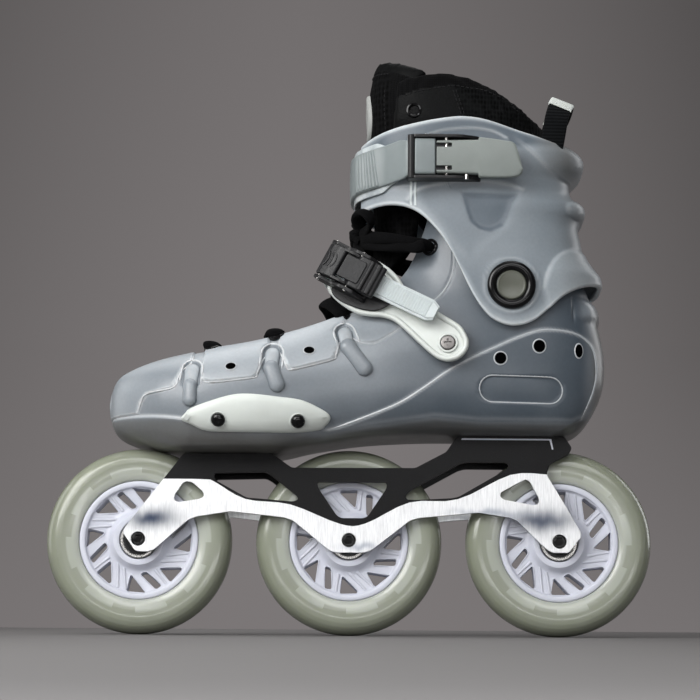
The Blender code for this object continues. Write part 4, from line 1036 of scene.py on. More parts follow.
def line(name, pts, w, h, s, lite=0.8, deep=0.25, ends=True, tree=None, step=0.8):
    """Thin raised line along a side of the boot: path in the side view, w wide and h proud, with a painted highlight
    (lite) along its crest.
    """
    p = [Vector(q) for q in pts]
    total = [0.0]
    for a, b in zip(p, p[1:]):
        total.append(total[-1] + (b - a).length)
    n = max(6, int(total[-1] / step))
    T = np.linspace(0, total[-1], n)
    px, pz = np.interp(T, total, [q.x for q in p]), np.interp(T, total, [q.y for q in p])
    tx, tz = np.gradient(px), np.gradient(pz)
    L = np.maximum(np.hypot(tx, tz), 1e-9)
    verts, faces, lv = [], [], []
    for k in range(n):
        f = k / (n - 1)
        g = float(sstep(0, 0.06, f) * sstep(1, 0.94, f)) if ends else 1.0
        g = 0.15 + 0.85 * g
        for o, hh in ((-0.5, -0.35), (-0.3, 0.75), (0.0, 1.0), (0.3, 0.75), (0.5, -0.35)):
            x, z = px[k] - tz[k] / L[k] * o * w * g, pz[k] + tx[k] / L[k] * o * w * g
            q, nn = on_shell(float(x), float(z), s, tree)
            verts.append(tuple(q + nn * (hh * h * g)))
            lv.append((lite(f) if callable(lite) else lite) * (0.4 if abs(o) > 0.4 else 1.0))
    for k in range(n - 1):
        for i in range(4):
            faces.append((k * 5 + i, k * 5 + i + 1, k * 5 + i + 6, k * 5 + i + 5))
    m = len(verts)
    ob = to_object(name, verts, faces, M["shell"], angle=70, attrs={"deep": np.full(m, deep), "lite": np.array(lv), "hole": np.zeros(m), "low": np.zeros(m)})
    put(ob, "boot", slot="shell")
    return ob


def lozenge(name, a, b, r, h, s, lite=0.45, deep=0.12, r2=None):
    """Rounded capsule standing on a side of the boot, from a to b in the side view, with painted shade round its foot
    and a painted highlight on its crown.
    """
    a, b = Vector(a), Vector(b)
    u = (b - a).normalized()
    v = Vector((-u.y, u.x))
    r2 = r2 or r
    levels_ = [(1.03, -0.9), (1.0, 0.0), (0.985, 0.18), (0.94, 0.36), (0.86, 0.53), (0.74, 0.69), (0.58, 0.83), (0.38, 0.94), (0.18, 0.99), (0.0, 1.0)]
    verts, faces = [], []
    n = 48
    for t, hh in levels_:
        for k in range(n):
            an = 2 * math.pi * k / n
            c, s_ = math.cos(an), math.sin(an)
            base, rr = (b, r2) if c > 0 else (a, r)
            q = base + u * (rr * t * c) + v * ((r2 if c > 0 else r) * t * s_)
            p_, nn = on_shell(q.x, q.y, s, base_tree)
            verts.append(tuple(p_ + nn * (hh * h if hh >= 0 else hh)))
    for k in range(len(levels_) - 1):
        for i in range(n):
            faces.append((k * n + i, k * n + (i + 1) % n, (k + 1) * n + (i + 1) % n, (k + 1) * n + i))
    m = len(verts)
    hv = np.repeat([l[1] for l in levels_], n)
    # painted shade darkens the foot, painted highlight lights the crown
    ob = to_object(name, verts, faces, M["shell"], merge=0.005, angle=70,
                   attrs={"deep": np.full(m, deep) + 0.35 * (1 - np.clip(hv * 2.5, 0, 1)), "lite": lite * np.clip(hv, 0.2, 1), "hole": np.zeros(m), "low": np.zeros(m)})
    put(ob, "boot", slot="shell")
    return ob


base_tree = BVHTree.FromPolygons([tuple(v) for v in SHELL_P.reshape(-1, 3)],
                                 [(i * NV + j, (i + 1) * NV + j, (i + 1) * NV + j + 1, i * NV + j + 1) for i in range(NU - 1) for j in range(NV - 1)])
for s, tag in ((-1, "outer"), (1, "inner")):
    for i, ((a, b, r), (c, d_, rr)) in enumerate(zip(COLLARS, CAPS)):
        A, B = Vector(a), Vector(b)
        u = (B - A).normalized()
        v = Vector((-u.y, u.x))
        arch = [B + v * r + u * 1.5, A + v * r] + [A + v * (r * math.cos(t)) - u * (r * math.sin(t)) for t in np.linspace(0.15, math.pi - 0.15, 14)] + [A - v * r, B - v * r + u * 1.5]
        line("hood_%d_%s" % (i + 1, tag), arch, 1.25, 0.75, s, lite=0.75, ends=True, step=0.7)
        lozenge("hood_tongue_%d_%s" % (i + 1, tag), A + u * 0.6, Vector(c), 4.2, 1.7, s, lite=0.28, deep=0.34, r2=3.9)
        lozenge("capsule_%d_%s" % (i + 1, tag), Vector(c) + (Vector(d_) - Vector(c)).normalized() * 0.5, d_, rr, 3.3, s, lite=0.10, deep=0.58)
    line("toe_edge_" + tag, curve2(TOECAP[:9], 6)[:-4], 1.1, 0.55, s, lite=0.85)
    line("panel_edge_1_" + tag, curve2(PANEL1[1:-1], 6), 1.1, 0.55, s, lite=0.9)
    line("panel_edge_2_" + tag, curve2(PANEL2[1:-2], 6), 1.1, 0.55, s, lite=0.9)
    line("side_ridge_" + tag, RIDGE, 1.3, 0.5, s, lite=lambda f: 0.75 - 0.55 * float(sstep(0.25, 0.55, f)), step=1.2)
    line("ankle_line_" + tag, SEAM, 0.9, 0.3, s, lite=0.35, step=1.2)
    if s < 0:
        A, B = Vector(BADGE_A), Vector(BADGE_B)
        u = (B - A).normalized()
        v = Vector((-u.y, u.x))
        loop_ = [B + v * BADGE_R * math.cos(t) + u * BADGE_R * math.sin(t) for t in np.linspace(0, math.pi, 20)] + [A - v * BADGE_R * math.cos(t) - u * BADGE_R * math.sin(t) for t in np.linspace(0, math.pi, 20)]
        line("recess_edge", loop_ + [loop_[0]], 0.9, 0.35, s, lite=0.42, ends=False)
# painted shade: dark discs in the hollows of the vents
for i, (vx, vz, ra, rb) in enumerate(VENTS):
    for s in (-1, 1):
        loc, nor = on_shell(vx, vz, s)
        side = (Vector((1, 0, 0)) - nor * nor.x).normalized()
        other = nor.cross(side)
        n = 28
        verts = [tuple(loc + nor * 0.42)] + [tuple(loc + side * (ra * f * math.cos(2 * math.pi * j / n)) + other * (rb * f * math.sin(2 * math.pi * j / n)) + nor * h) for f, h in ((0.55, 0.42), (1.0, 0.34), (1.02, -0.4)) for j in range(n)]
        faces = [(0, 1 + j, 1 + (j + 1) % n) for j in range(n)] + [(1 + k * n + j, 1 + k * n + (j + 1) % n, 1 + (k + 1) * n + (j + 1) % n, 1 + (k + 1) * n + j) for k in range(2) for j in range(n)]
        put(to_object("vent_hollow_%d_%s" % (i + 1, "outer" if s < 0 else "inner"), verts, faces, M["void"], angle=60), "boot", slot="black_plastic")

# ================================================================ cuff
PIVOT = (94.3, 202.5)
CUFF_BACK = [(176, 150.5), (196, 149.5), (203, 149.3), (208, 149.4), (212, 148.6), (216, 145.6), (221, 142.0), (226, 139.4), (234, 137.3), (243, 136.0), (246, 136.9), (249, 138.9), (254, 138.9), (257, 135.6), (261, 131.9),
             (266, 130.6), (270, 130.3), (273, 132.6), (277, 136.4), (281, 137.8), (284.5, 136.6), (288, 132.3), (292, 127.5), (297, 122.5), (303, 118)]
CUFF_H = [(176, 49.2), (205, 50.0), (235, 49.0), (260, 48.2), (303, 48.2)]
CUFF_FRONT = 3.5
CUFF_TOP = [(-5, 287), (3, 289), (14, 293.5), (27, 297), (40, 299.4), (54, 301.5), (70, 303), (80, 302.3), (94, 298.5), (107, 293), (120, 288.0), (130, 286.0), (140, 284.0)]
CUFF_LOW = [(-5, 249), (5, 251), (14.6, 252.9), (23.7, 253), (33, 251), (41, 246.6), (47.6, 240), (54, 232), (59.5, 222.6), (66, 209.5), (72.7, 196.4), (80.4, 186),
            (89.7, 180.6), (100, 180.2), (109, 184), (117, 191), (125, 198.5), (134, 203.6), (141, 206), (150, 207.5)]


def cuff_pts(phi, z, off=0.0):
    xb, xf, h = herm(CUFF_BACK, z) + off, CUFF_FRONT - off, herm(CUFF_H, z) + off
    return ring_points((xf, z), (xb, z), h, phi, 0.62, 0.50)


CU, CV = 260, 130
phis = math.radians(15.0) + (2 * math.pi - 2 * math.radians(15.0)) * np.linspace(0, 1, CU)
P = np.zeros((CU, CV, 3))
zb = np.full(CU, 230.0)
for _ in range(24):
    x, _, _ = cuff_pts(phis, zb)
    zb = 0.5 * zb + 0.5 * herm(CUFF_LOW, x)
x, _, _ = cuff_pts(phis, np.full(CU, 294.0))
zt = herm(CUFF_TOP, x)
for j in range(CV):
    z = zb + (zt - zb) * j / (CV - 1)
    x, y, _ = cuff_pts(phis, z)
    P[:, j, 0], P[:, j, 1], P[:, j, 2] = x, y, z
N = grid_normals(P)
if N[CU // 4, CV // 2, 1] > 0:
    N = -N
X, Y, Z = P[..., 0], P[..., 1], P[..., 2]
sidew = sstep(0.12, 0.45, np.abs(N[..., 1]))
CREST = curve2([(33.5, 254.0), (36.5, 258.0), (44.2, 261.6), (53.0, 263.5), (61.9, 264.6), (79.6, 264.7), (94.3, 262.7), (100.9, 260.5)])
RECESS = [(38.0, 259.5), (44.2, 261.6), (53.0, 263.5), (61.9, 264.6), (79.6, 264.7), (94.3, 262.7), (100.9, 260.5), (99.6, 254), (95.5, 245), (91, 237), (84, 232), (76, 226), (71, 217), (62, 226), (52.0, 241.0), (42.8, 251.4)]
POCKET = [(64.6, 258.2), (98.4, 257.6), (95.6, 252.0), (93.2, 244.2), (89.9, 238.0), (82.5, 234.2), (75.2, 235.5), (70.2, 239.8), (67.8, 246.0)]
ARC = curve2([(41.2, 290.8), (47.1, 293.7), (55.9, 295.8), (70.7, 297.0), (82.5, 295.6), (91.5, 291.6)])
ARC_IN = ARC + [(91, 282), (41, 282)]
SPOILER = curve2([(80.0, 300.5), (92.0, 293.8), (105.4, 284.0), (118.7, 272.5), (126.0, 268.6), (134.3, 268.6)])
SPOILER_IN = SPOILER + [(150, 268), (150, 310), (80, 310)]
REAR = curve2([(150, 226.0), (136.0, 226.4), (128.6, 225.6), (121.2, 220.5), (116.0, 211.7), (113.1, 201.2)])
REAR_IN = REAR + [(118, 185), (160, 185), (160, 226)]
TOWER = [(119.4, 262), (122.8, 236), (128, 236), (128, 262)]
disp = np.zeros_like(X)
sd_rec, sd_poc = poly_sd(X, Z, RECESS), poly_sd(X, Z, POCKET)
disp += -0.5 * sstep(2.5, -6, sd_rec) * sidew
d_crest = seg_dist(X, Z, CREST)
disp += 0.8 * np.exp(-(d_crest / 1.2) ** 2) * sidew
disp += -0.9 * sstep(1.0, -3.5, sd_poc) * sidew
sd_arc = poly_sd(X, Z, ARC_IN)
disp += -0.8 * sstep(0.6, -0.8, sd_arc) * sidew
sd_sp = poly_sd(X, Z, SPOILER_IN)
disp += 1.6 * sstep(0.8, -1.6, sd_sp) * sstep(92, 112, X)
sd_re = poly_sd(X, Z, REAR_IN)
disp += 0.8 * sstep(1.5, -2.0, sd_re) * (Z > 190)
d_piv = np.hypot(X - PIVOT[0], Z - PIVOT[1])
disp += 0.5 * np.exp(-((d_piv - 16.2) / 0.9) ** 2) * sidew
# rounded lug behind the ankle
lug_d = np.hypot((X - 133.5) / 6.5, (Z - 251.5) / 5.6)
disp += 1.4 * np.sqrt(np.clip(1 - lug_d ** 2, 0, 1))
low_edge = Z - zb[:, None]
top_edge = zt[:, None] - Z
deep = 0.58 * np.ones_like(X)
deep += 0.60 * sstep(284, 290, Z) * sstep(126, 104, X)
deep += 0.14 * sstep(228, 205, Z) * sstep(118, 100, X)
deep += 0.12 * sstep(55, 40, X) * (Z < 262)
deep = np.maximum(deep, 0)
deep += 0.62 * sstep(1.0, -3.0, sd_poc) * sidew
deep += 0.14 * sstep(2, -4, sd_rec)
deep += 0.18 * sstep(0.8, -0.8, sd_arc)
deep *= 1 - 0.55 * sstep(7.0, 0.5, low_edge) * (1 - 0.4 * sstep(60, 40, X))
deep *= 1 - 0.35 * sstep(4.0, 0.5, top_edge)
deep *= 1 - 0.25 * sstep(1.0, -3, sd_sp) * sstep(92, 112, X)
deep *= 1 - 0.45 * sstep(1.5, -2.0, sd_re)
deep *= 1 - 0.3 * sstep(24, 8, X)
# lite: painted highlights on the crest, the arc, the spoiler and rear lines, the lug, the rims and the ring round the
# pivot
lite = np.zeros_like(X)
lite = np.maximum(lite, 0.45 * np.exp(-(d_crest / 1.3) ** 2) * sidew)
lite = np.maximum(lite, 0.55 * np.exp(-(seg_dist(X, Z, ARC) / 0.8) ** 2) * sidew)
lite = np.maximum(lite, 0.45 * np.exp(-(seg_dist(X, Z, SPOILER) / 1.0) ** 2) * sstep(95, 110, X))
lite = np.maximum(lite, 0.30 * np.exp(-(seg_dist(X, Z, REAR) / 1.0) ** 2))
lite = np.maximum(lite, 0.5 * np.sqrt(np.clip(1 - lug_d ** 2, 0, 1)))
lite = np.maximum(lite, 0.75 * sstep(1.6, 0.0, low_edge))
lite = np.maximum(lite, 0.6 * sstep(1.6, 0.0, top_edge))
lite = np.maximum(lite, 0.25 * np.exp(-((d_piv - 16.2) / 0.9) ** 2))
# see: painted see-through tone, a darker and browner shade over the rear of the cuff, carried in low
see = 0.50 * sstep(104, 122, X) * sstep(136, 126, X) * sstep(262, 278, Z) + 0.30 * sstep(118, 134, X) + 0.25 * sstep(100, 118, X) * sstep(286, 292, Z)
see = np.clip(see, 0, 0.9)
lite *= 1 - 0.5 * sstep(112, 130, X)
cuff_vis = wall("cuff_wall", P, N, disp, 2.8, M["cuff"], ends=(True, True), sides=True,
                attrs={"deep": np.clip(deep, 0, 1), "lite": np.clip(lite, 0, 1), "hole": np.zeros_like(X), "low": see})
put(cuff_vis, "cuff", "cuff", slot="cuff")
cuff_tree = surface(cuff_vis)

# ================================================================ more shape helpers
def inset(points, d):
    """Outline moved inwards by d, or outwards when d is negative."""
    p = [Vector((q[0], q[1])) for q in points]
    n = len(p)
    turn = 1 if sum(p[i].x * p[(i + 1) % n].y - p[(i + 1) % n].x * p[i].y for i in range(n)) > 0 else -1
    out = []
    for i in range(n):
        u, v = p[i] - p[i - 1], p[(i + 1) % n] - p[i]
        if u.length < 1e-6 or v.length < 1e-6:
            out.append((p[i].x, p[i].y))
            continue
        m = (Vector((-u.y, u.x)).normalized() + Vector((-v.y, v.x)).normalized()) * turn
        m = m * (2 / max(m.length_squared, 0.7))
        out.append((p[i].x + m.x * d, p[i].y + m.y * d))
    return out


def flat_normals(ob):
    m = ob.modifiers.new("wn", "WEIGHTED_NORMAL")
    m.keep_sharp = True
    return apply_mods(ob)


def edges(ob, width, segments=2, angle=30.0, smooth=45.0):
    """Rounded edges with flat faces left flat."""
    bevel(ob, width, segments, angle, smooth)
    return flat_normals(ob)


def copy(ob, name):
    o = ob.copy()
    o.data = ob.data.copy()
    o.name = name
    bpy.context.scene.collection.objects.link(o)
    return o


def recoat(ob, mat):
    ob.data.materials.clear()
    ob.data.materials.append(mat)
    ob.data.polygons.foreach_set("material_index", [0] * len(ob.data.polygons))
    return ob


def plate(name, outline, place, a, b, mat, width=0.5, holes=(), segments=2, origin=(0, 0, 0)):
    ob = prism(name, outline, place, a, b, mat, holes=holes, origin=origin)
    return edges(ob, width, segments)


def loft(name, stations, section, mat, angle=40, origin=(0, 0, 0)):
    """Skin through sections: section(station) gives a closed loop of points."""
    rings = [section(s) for s in stations]
    m = len(rings[0])
    verts = [tuple(p) for r in rings for p in r]
    faces = []
    for k in range(len(rings) - 1):
        for i in range(m):
            j = (i + 1) % m
            faces.append((k * m + i, k * m + j, (k + 1) * m + j, (k + 1) * m + i))
    faces.append(tuple(range(m)))
    faces.append(tuple(reversed(range((len(rings) - 1) * m, len(rings) * m))))
    return to_object(name, verts, faces, mat, angle=angle, origin=origin)


def pill(w, t, r, n=3, crown=0.0):
    """Rounded rectangle w wide and t thick, crowned on its upper side."""
    pts = []
    for cx, cy, a0 in ((w / 2 - r, t / 2 - r, 0), (-w / 2 + r, t / 2 - r, 90), (-w / 2 + r, -t / 2 + r, 180), (w / 2 - r, -t / 2 + r, 270)):
        for k in range(n + 1):
            a = math.radians(a0 + 90 * k / n)
            pts.append((cx + r * math.cos(a), cy + r * math.sin(a)))
        if a0 == 0:
            for k in range(1, 8):
                f = k / 8
                pts.append(((w / 2 - r) * (1 - 2 * f), t / 2 + crown * (1 - (2 * f - 1) ** 2)))
    return pts


def origin_to(ob, o):
    """Moves the object's own origin to o (millimetres) without moving its mesh."""
    v = Vector(o) * MM
    ob.data.transform(Matrix.Translation(ob.location - v))
    ob.location = v
    return ob


# ================================================================ wheels
WHEEL_R = 55.0
AXLES = [("front", -124.0, 108.0), ("mid", 0.0, 61.0), ("rear", 124.0, 112.5)]
half = [(35.3, 9.7), (36.2, 10.6), (38.5, 11.3), (42.0, 11.85), (45.5, 12.0), (48.6, 11.6), (51.0, 10.4), (52.8, 8.5), (54.1, 5.9), (54.8, 3.0), (55.0, 0.0)]
TYRE_PROFILE = [(r, -w) for r, w in half] + [(r, w) for r, w in reversed(half[:-1])]
half = [(35.2, 8.6), (34.9, 9.7), (34.2, 10.15), (32.6, 10.15), (31.8, 9.7), (31.3, 8.5), (30.2, 7.7), (21.0, 6.9), (18.6, 7.2), (17.0, 8.4), (15.6, 10.6), (14.8, 11.5), (12.6, 11.7), (11.6, 11.2), (11.15, 10.2), (11.15, 4.8), (9.4, 4.8)]
CORE_PROFILE = [(r, -w) for r, w in half] + [(r, w) for r, w in reversed(half)]
OPENINGS = {
    "slot": [(18.8, -4.8), (19.9, -14.6), (31.1, 2.0), (30.0, 9.6)],
    "tri": [(20.6, -9.5), (31.0, -10.0), (31.4, 11.5), (29.8, 9.0)],
    "tri2": [(20.4, -7.5), (31.3, -6.5), (31.0, 12.5), (29.4, 13.5)],
}


def core_openings(base):
    out = []
    for g in range(4):
        for da, shape in ((-21.0, "tri"), (0.0, "slot"), (26.0, "tri2")):
            am = math.radians(base + 90 * g + da)
            out.append([(r * math.cos(am + math.radians(d)), WHEEL_R + r * math.sin(am + math.radians(d))) for r, d in OPENINGS[shape]])
    return out


core0 = turned("core_first", CORE_PROFILE, (0, 0, WHEEL_R), (0, -1, 0), 144, M["core"], closed=True)
lips = []
for o in core_openings(0.0):
    boolean(core0, prism("cut", fillet(o, 1.5), along_y, -14, 14, None))
for o in core_openings(0.0):
    for s in (-1, 1):
        lips.append(plate("lip", inset(fillet(o, 1.5), -0.7), along_y, s * 6.0, s * 7.5, M["core"], 0.28, holes=[inset(fillet(o, 1.5), 0.0)]))
# raised ribs on the broad spokes
for g in range(4):
    for (r0, d0), (r1, d1) in (((19.8, 11.5), (31.0, 15.0)), ((18.0, 29.0), (30.6, 49.0)), ((18.4, 44.0), (30.6, 58.0))):
        ends_ = [(r * math.cos(math.radians(90 * g + d)), r * math.sin(math.radians(90 * g + d))) for r, d in ((r0, d0), (r1, d1))]
        for s in (-1, 1):
            lips.append(tube("rib", [(ends_[0][0], s * 6.9, WHEEL_R + ends_[0][1]), ((ends_[0][0] + ends_[1][0]) / 2, s * 6.75, WHEEL_R + (ends_[0][1] + ends_[1][1]) / 2), (ends_[1][0], s * 7.3, WHEEL_R + ends_[1][1])], 1.0, M["core"], n=9, sides=10))
edges(core0, 0.4, 2, 38, 50)
core0 = origin_to(join("core_first", [core0] + lips), (0, 0, WHEEL_R))
tyre0 = turned("tyre_first", round_profile(TYRE_PROFILE, 0.6, 2), (0, 0, WHEEL_R), (0, -1, 0), 144, M["urethane"], closed=True, smooth=60)
bear0 = join("bearing_first", [
    turned("race", [(4.15, -3.5), (4.15, 3.5), (5.7, 3.5), (6.0, 3.0), (9.1, 3.0), (9.4, 3.5), (10.5, 3.5), (10.85, 3.1), (10.85, -3.1), (10.5, -3.5), (4.4, -3.5)], (0, 0, 0), (0, -1, 0), 72, M["steel"], closed=True),
    turned("seal", [(6.2, 3.02), (6.3, 3.2), (8.9, 3.2), (9.0, 3.02)], (0, 0, 0), (0, -1, 0), 72, M["black"]),
])
axle0 = turned("axle_first", [(0, -17.2), (3.2, -17.2), (3.85, -16.6), (3.85, 16.7), (3.4, 17.15), (0, 17.15)], (0, 0, 0), (0, -1, 0), 48, M["gloss"])
boolean(axle0, prism("cut", circle(0, 0, 2.6, 6), along_y, -20, -13.0, None))
edges(axle0, 0.2, 2, 35)
for tag, x, base in AXLES:
    for src, nodes, body, sl in ((core0, ["core_" + tag], "wheel_" + tag, "core"), (tyre0, ["tyre_" + tag], "wheel_" + tag, "urethane"), (axle0, ["axle_" + tag], "boot", "black_screw")):
        o = bpy.data.objects.new(nodes[0] + "_vis", src.data if src is axle0 else src.data.copy())
        bpy.context.scene.collection.objects.link(o)
        o.location = Vector((x, 0, WHEEL_R)) * MM
        if src is core0:
            o.data.transform(Matrix.Rotation(-math.radians(base), 4, "Y"))
        elif src is tyre0:
            o.data.transform(Matrix.Rotation(-math.radians(base + 20), 4, "Y"))
        put(o, body, *nodes, slot=sl)
    for side, s in (("outer", -1), ("inner", 1)):
        o = bpy.data.objects.new("bearing_%s_%s_vis" % (tag, side), bear0.data)
        bpy.context.scene.collection.objects.link(o)
        o.location = Vector((x, s * 8.6, WHEEL_R)) * MM
        o.rotation_euler = (0, 0, 0 if s < 0 else math.pi)
        put(o, "wheel_" + tag, "bearing_%s_%s" % (tag, side), slot="steel")
    o = turned("spacer_%s_vis" % tag, [(4.15, -4.7), (6.2, -4.7), (6.2, 4.7), (4.15, 4.7)], (x, 0, WHEEL_R), (0, -1, 0), 32, M["steel"], closed=True)
    put(o, "boot", "spacer_" + tag, slot="steel")
for o in (core0, tyre0, bear0, axle0):
    bpy.data.objects.remove(o, do_unlink=True)

# ================================================================ frame
FRONT_DECK_Z, REAR_DECK_Z = 106.0, 117.5
PLATE = [(-98, 105.7), (-45.6, FRONT_DECK_Z), (-34, 97.7), (39, 98), (57.2, 107.7), (63.8, REAR_DECK_Z), (126.9, REAR_DECK_Z),
         (131.5, 110.5), (129.5, 106.8), (118.3, 100.8), (116.4, 94.5), (128.6, 74.4), (136.6, 60.2), (136.2, 57.3), (130, 49.2), (128.5, 48.4),
         (120, 48.4), (116.1, 50.7), (99, 67.2), (95, 68.9), (76.5, 71.8), (41, 68.4), (36, 66.9), (13.5, 49.3), (8.5, 47.7), (-7.8, 47.7), (-11.5, 49),
         (-33, 66.5), (-38, 68.2), (-69.8, 71.6), (-90, 68.4), (-95, 66.2), (-114.5, 48.8), (-118, 47.6), (-124.2, 47.6), (-126, 48.4), (-132.7, 58.2), (-132.3, 61),
         (-109.2, 91)]
WINDOWS = [
    [(-79, 94.2), (-49.5, 95), (-46, 93), (-30.8, 81), (-30, 78.8), (-33, 77.6), (-60.5, 79.8), (-78.6, 89.8), (-80, 92.5)],
    [(-18.8, 88.6), (-18, 89.3), (21.5, 89.3), (22.3, 88), (21.8, 85.4), (11.2, 69.3), (8.5, 68), (-4.5, 68), (-7.2, 69.5), (-18.2, 85.7)],
    [(33.2, 81.6), (36, 84.5), (65, 100.5), (69, 101.6), (92, 101.6), (94.2, 100.3), (93.2, 97.8), (64.5, 81), (60, 80.2), (39.1, 79), (34, 79.3)],
    [(-98, 88.4), (-96, 89.2), (-92.6, 88.8), (-86, 83), (-85.5, 80.2), (-88, 78.8), (-100.6, 76.7), (-103.2, 78), (-103, 81)],
    [(102.2, 91), (104, 91.8), (106.5, 90.6), (112, 80.5), (111.8, 77.2), (109, 76.4), (91, 79.6), (88.8, 81.6), (89.5, 84)],
]
LINE = [(-109.2, 90.6), (-85.1, 90.4), (-79.1, 88.8), (-61.1, 78.9), (-34.5, 75.8), (-5.5, 64.6), (9.6, 64.8), (35.6, 77.5), (64.1, 79.6), (95.1, 94.3), (116.4, 94.7)]
LOWER = [(-145, 90.6)] + [(p.x, p.y) for p in rounded(LINE, 4, closed=False)] + [(145, 94.7), (145, 30), (-145, 30)]
first = None
for s, tag in ((-1, "outer"), (1, "inner")):
    holes = [fillet(w, 1.6, 4) for w in WINDOWS] + [circle(x, WHEEL_R, 4.25, 40) for _, x, _ in AXLES]
    silver = prism("frame_lower_" + tag, fillet(PLATE, 1.5, 3), along_y, s * 14.5, s * 17.5, M["brushed"], holes=holes)
    black = prism("frame_upper_" + tag, fillet(PLATE, 1.5, 3), along_y, s * 14.5, s * 17.32, M["anodised"], holes=holes)
    region = prism("region", LOWER, along_y, s * 8, s * 24, None)
    boolean(silver, region, "INTERSECT", keep=True)
    boolean(black, region, "DIFFERENCE")
    edges(silver, 0.55, 3, 32, 45)
    edges(black, 0.40, 2, 32, 45)
    put(silver, "boot", "frame", slot="alu")
    put(black, "boot", "frame", slot="alu")
for nm, pts in (("frame_deck_front", [(-88, 101.8), (-47.2, 101.8), (-47.2, 105.9), (-88, 105.6)]), ("frame_deck_rear", [(65.5, 113), (126, 113), (126, 117.4), (65.5, 117.4)])):
    put(plate(nm, pts, along_y, -14.6, 14.6, M["anodised"], 0.5), "boot", "frame", slot="alu")
for s in (-1, 1):
    for tag, x, _ in AXLES:
        o = turned("frame_boss_%s_%s" % (tag, "outer" if s < 0 else "inner"), [(4.3, 12.7), (7.2, 12.7), (7.6, 13.1), (7.6, 15.2), (4.3, 15.2)], (x, 0, WHEEL_R), (0, s, 0), 48, M["anodised"], closed=True)
        put(o, "boot", "frame", slot="alu")
# pinstripe along the top of the rear mount
pin = plate("frame_pinstripe", fillet([(66.0, 115.0), (118.2, 115.0), (119.6, 109.6), (120.5, 109.6), (119.3, 115.9), (66.4, 115.9)], 0.3), along_y, -17.25, -17.42, M["core"], 0.05)
put(pin, "boot", "frame", slot="alu")
for nm, bx, under, top, deck in (("mount_bolt_front", -70, 101.8, 108.6, 106), ("mount_bolt_rear", 95, 113.0, 120.2, 117.5)):
    o = turned(nm + "_vis", [(0, top), (2.6, top), (3.1, top - 0.6), (3.1, under - 0.4), (5.9, under - 0.4), (6.3, under - 0.8), (6.3, under - 3.9), (5.8, under - 4.4), (0, under - 4.4)], (bx, 0, 0), (0, 0, 1), 40, M["gloss"])
    boolean(o, prism("cut", circle(bx, 0, 2.6, 6), up_z, under - 6, under - 2.2, None))
    put(o, "boot", nm, slot="black_screw")

# ================================================================ sliders on the sides of the toe
SLIDER = [(-98.4, 122), (-96, 125.5), (-92.6, 128.3), (-80, 132.8), (-67.7, 136), (-57.2, 136.4), (-42, 135), (-28.1, 133.3), (-16, 128.2), (-11.8, 125.2),
          (-11.5, 122.5), (-14, 119.4), (-17.5, 117.2), (-30, 115.3), (-45.4, 114.8), (-65, 114.8), (-83.1, 115.4), (-92, 118.8)]
for label, s in (("outer", -1), ("inner", 1)):
    ol = [(p.x, p.y) for p in rounded(SLIDER, 5)]
    cx, cz = sum(p[0] for p in ol) / len(ol), sum(p[1] for p in ol) / len(ol)
    verts, faces = [], []
    # (shrink by mm, proud by mm): flat base, steep rounded side, a bevel band, then the nearly flat face
    steps = [(0.3, 0.9), (0.0, 1.3), (0.0, 2.2), (0.25, 2.9), (0.8, 3.5), (1.6, 3.9), (2.6, 4.2), (4.2, 4.7)]
    n = len(ol)
    for d, proud in steps:
        for x, z in inset(ol, d) if d else ol:
            x, z = cx + (x - cx) * 1.0, cz + (z - cz) * 1.0
            h, nn = on_side(base_tree, x, z, s)
            verts.append((x, h.y + s * proud, z))
    for k in range(len(steps) - 1):
        for i in range(n):
            j = (i + 1) % n
            faces.append((k * n + i, k * n + j, (k + 1) * n + j, (k + 1) * n + i))
    # the face is filled with a net of small triangles
    edge_ = inset(ol, steps[-1][0])
    fx, fz = [p[0] for p in edge_], [p[1] for p in edge_]
    gx, gz = np.meshgrid(np.arange(min(fx), max(fx), 2.0), np.arange(min(fz), max(fz), 2.0))
    keep_ = poly_sd(gx, gz, edge_) < -1.2
    cdt = delaunay_2d_cdt([Vector(p) for p in edge_] + [Vector((a_, b_)) for a_, b_ in zip(gx[keep_].tolist(), gz[keep_].tolist())],
                          [(i, (i + 1) % n) for i in range(n)], [], 1, 1e-6)
    base_i = len(verts)
    for q in cdt[0]:
        h, nn = on_side(base_tree, q.x, q.y, s)
        inside_ = float(-poly_sd(np.array([q.x]), np.array([q.y]), edge_)[0])
        verts.append((q.x, h.y + s * (steps[-1][1] + 0.25 * min(1.0, inside_ / 5.0)), q.y))
    for f_ in cdt[2]:
        faces.append(tuple(base_i + i for i in f_))
    faces.append(tuple(reversed(range(n))))
    o = to_object("slider_%s_vis" % label, verts, faces, M["pale"], merge=0.01, angle=40)
    put(o, "boot", "slider_" + label, slot="pale")
    for tag, sx, sz in (("front", -76.2, 122.7), ("rear", -30.9, 122.8)):
        seat, up = on_side(base_tree, sx, sz, s)
        if up.y * s < 0:
            up = -up
        o = turned("slider_screw_%s_%s_vis" % (label, tag), [(0, 3.0), (4.0, 3.0), (4.05, 5.3), (3.85, 6.0), (3.2, 6.8), (2.2, 7.35), (1.45, 7.5), (1.3, 6.7), (0, 6.6)], seat, up, 40, M["gloss"], origin=tuple(seat))
        put(o, "boot", "slider_screw_%s_%s" % (label, tag), slot="black_screw")
        o = turned("slider_seat_%s_%s" % (label, tag), [(4.1, 4.4), (4.5, 4.9), (4.9, 4.75), (5.0, 4.2)], seat, up, 40, M["pale"])
        put(o, "boot", slot="pale")

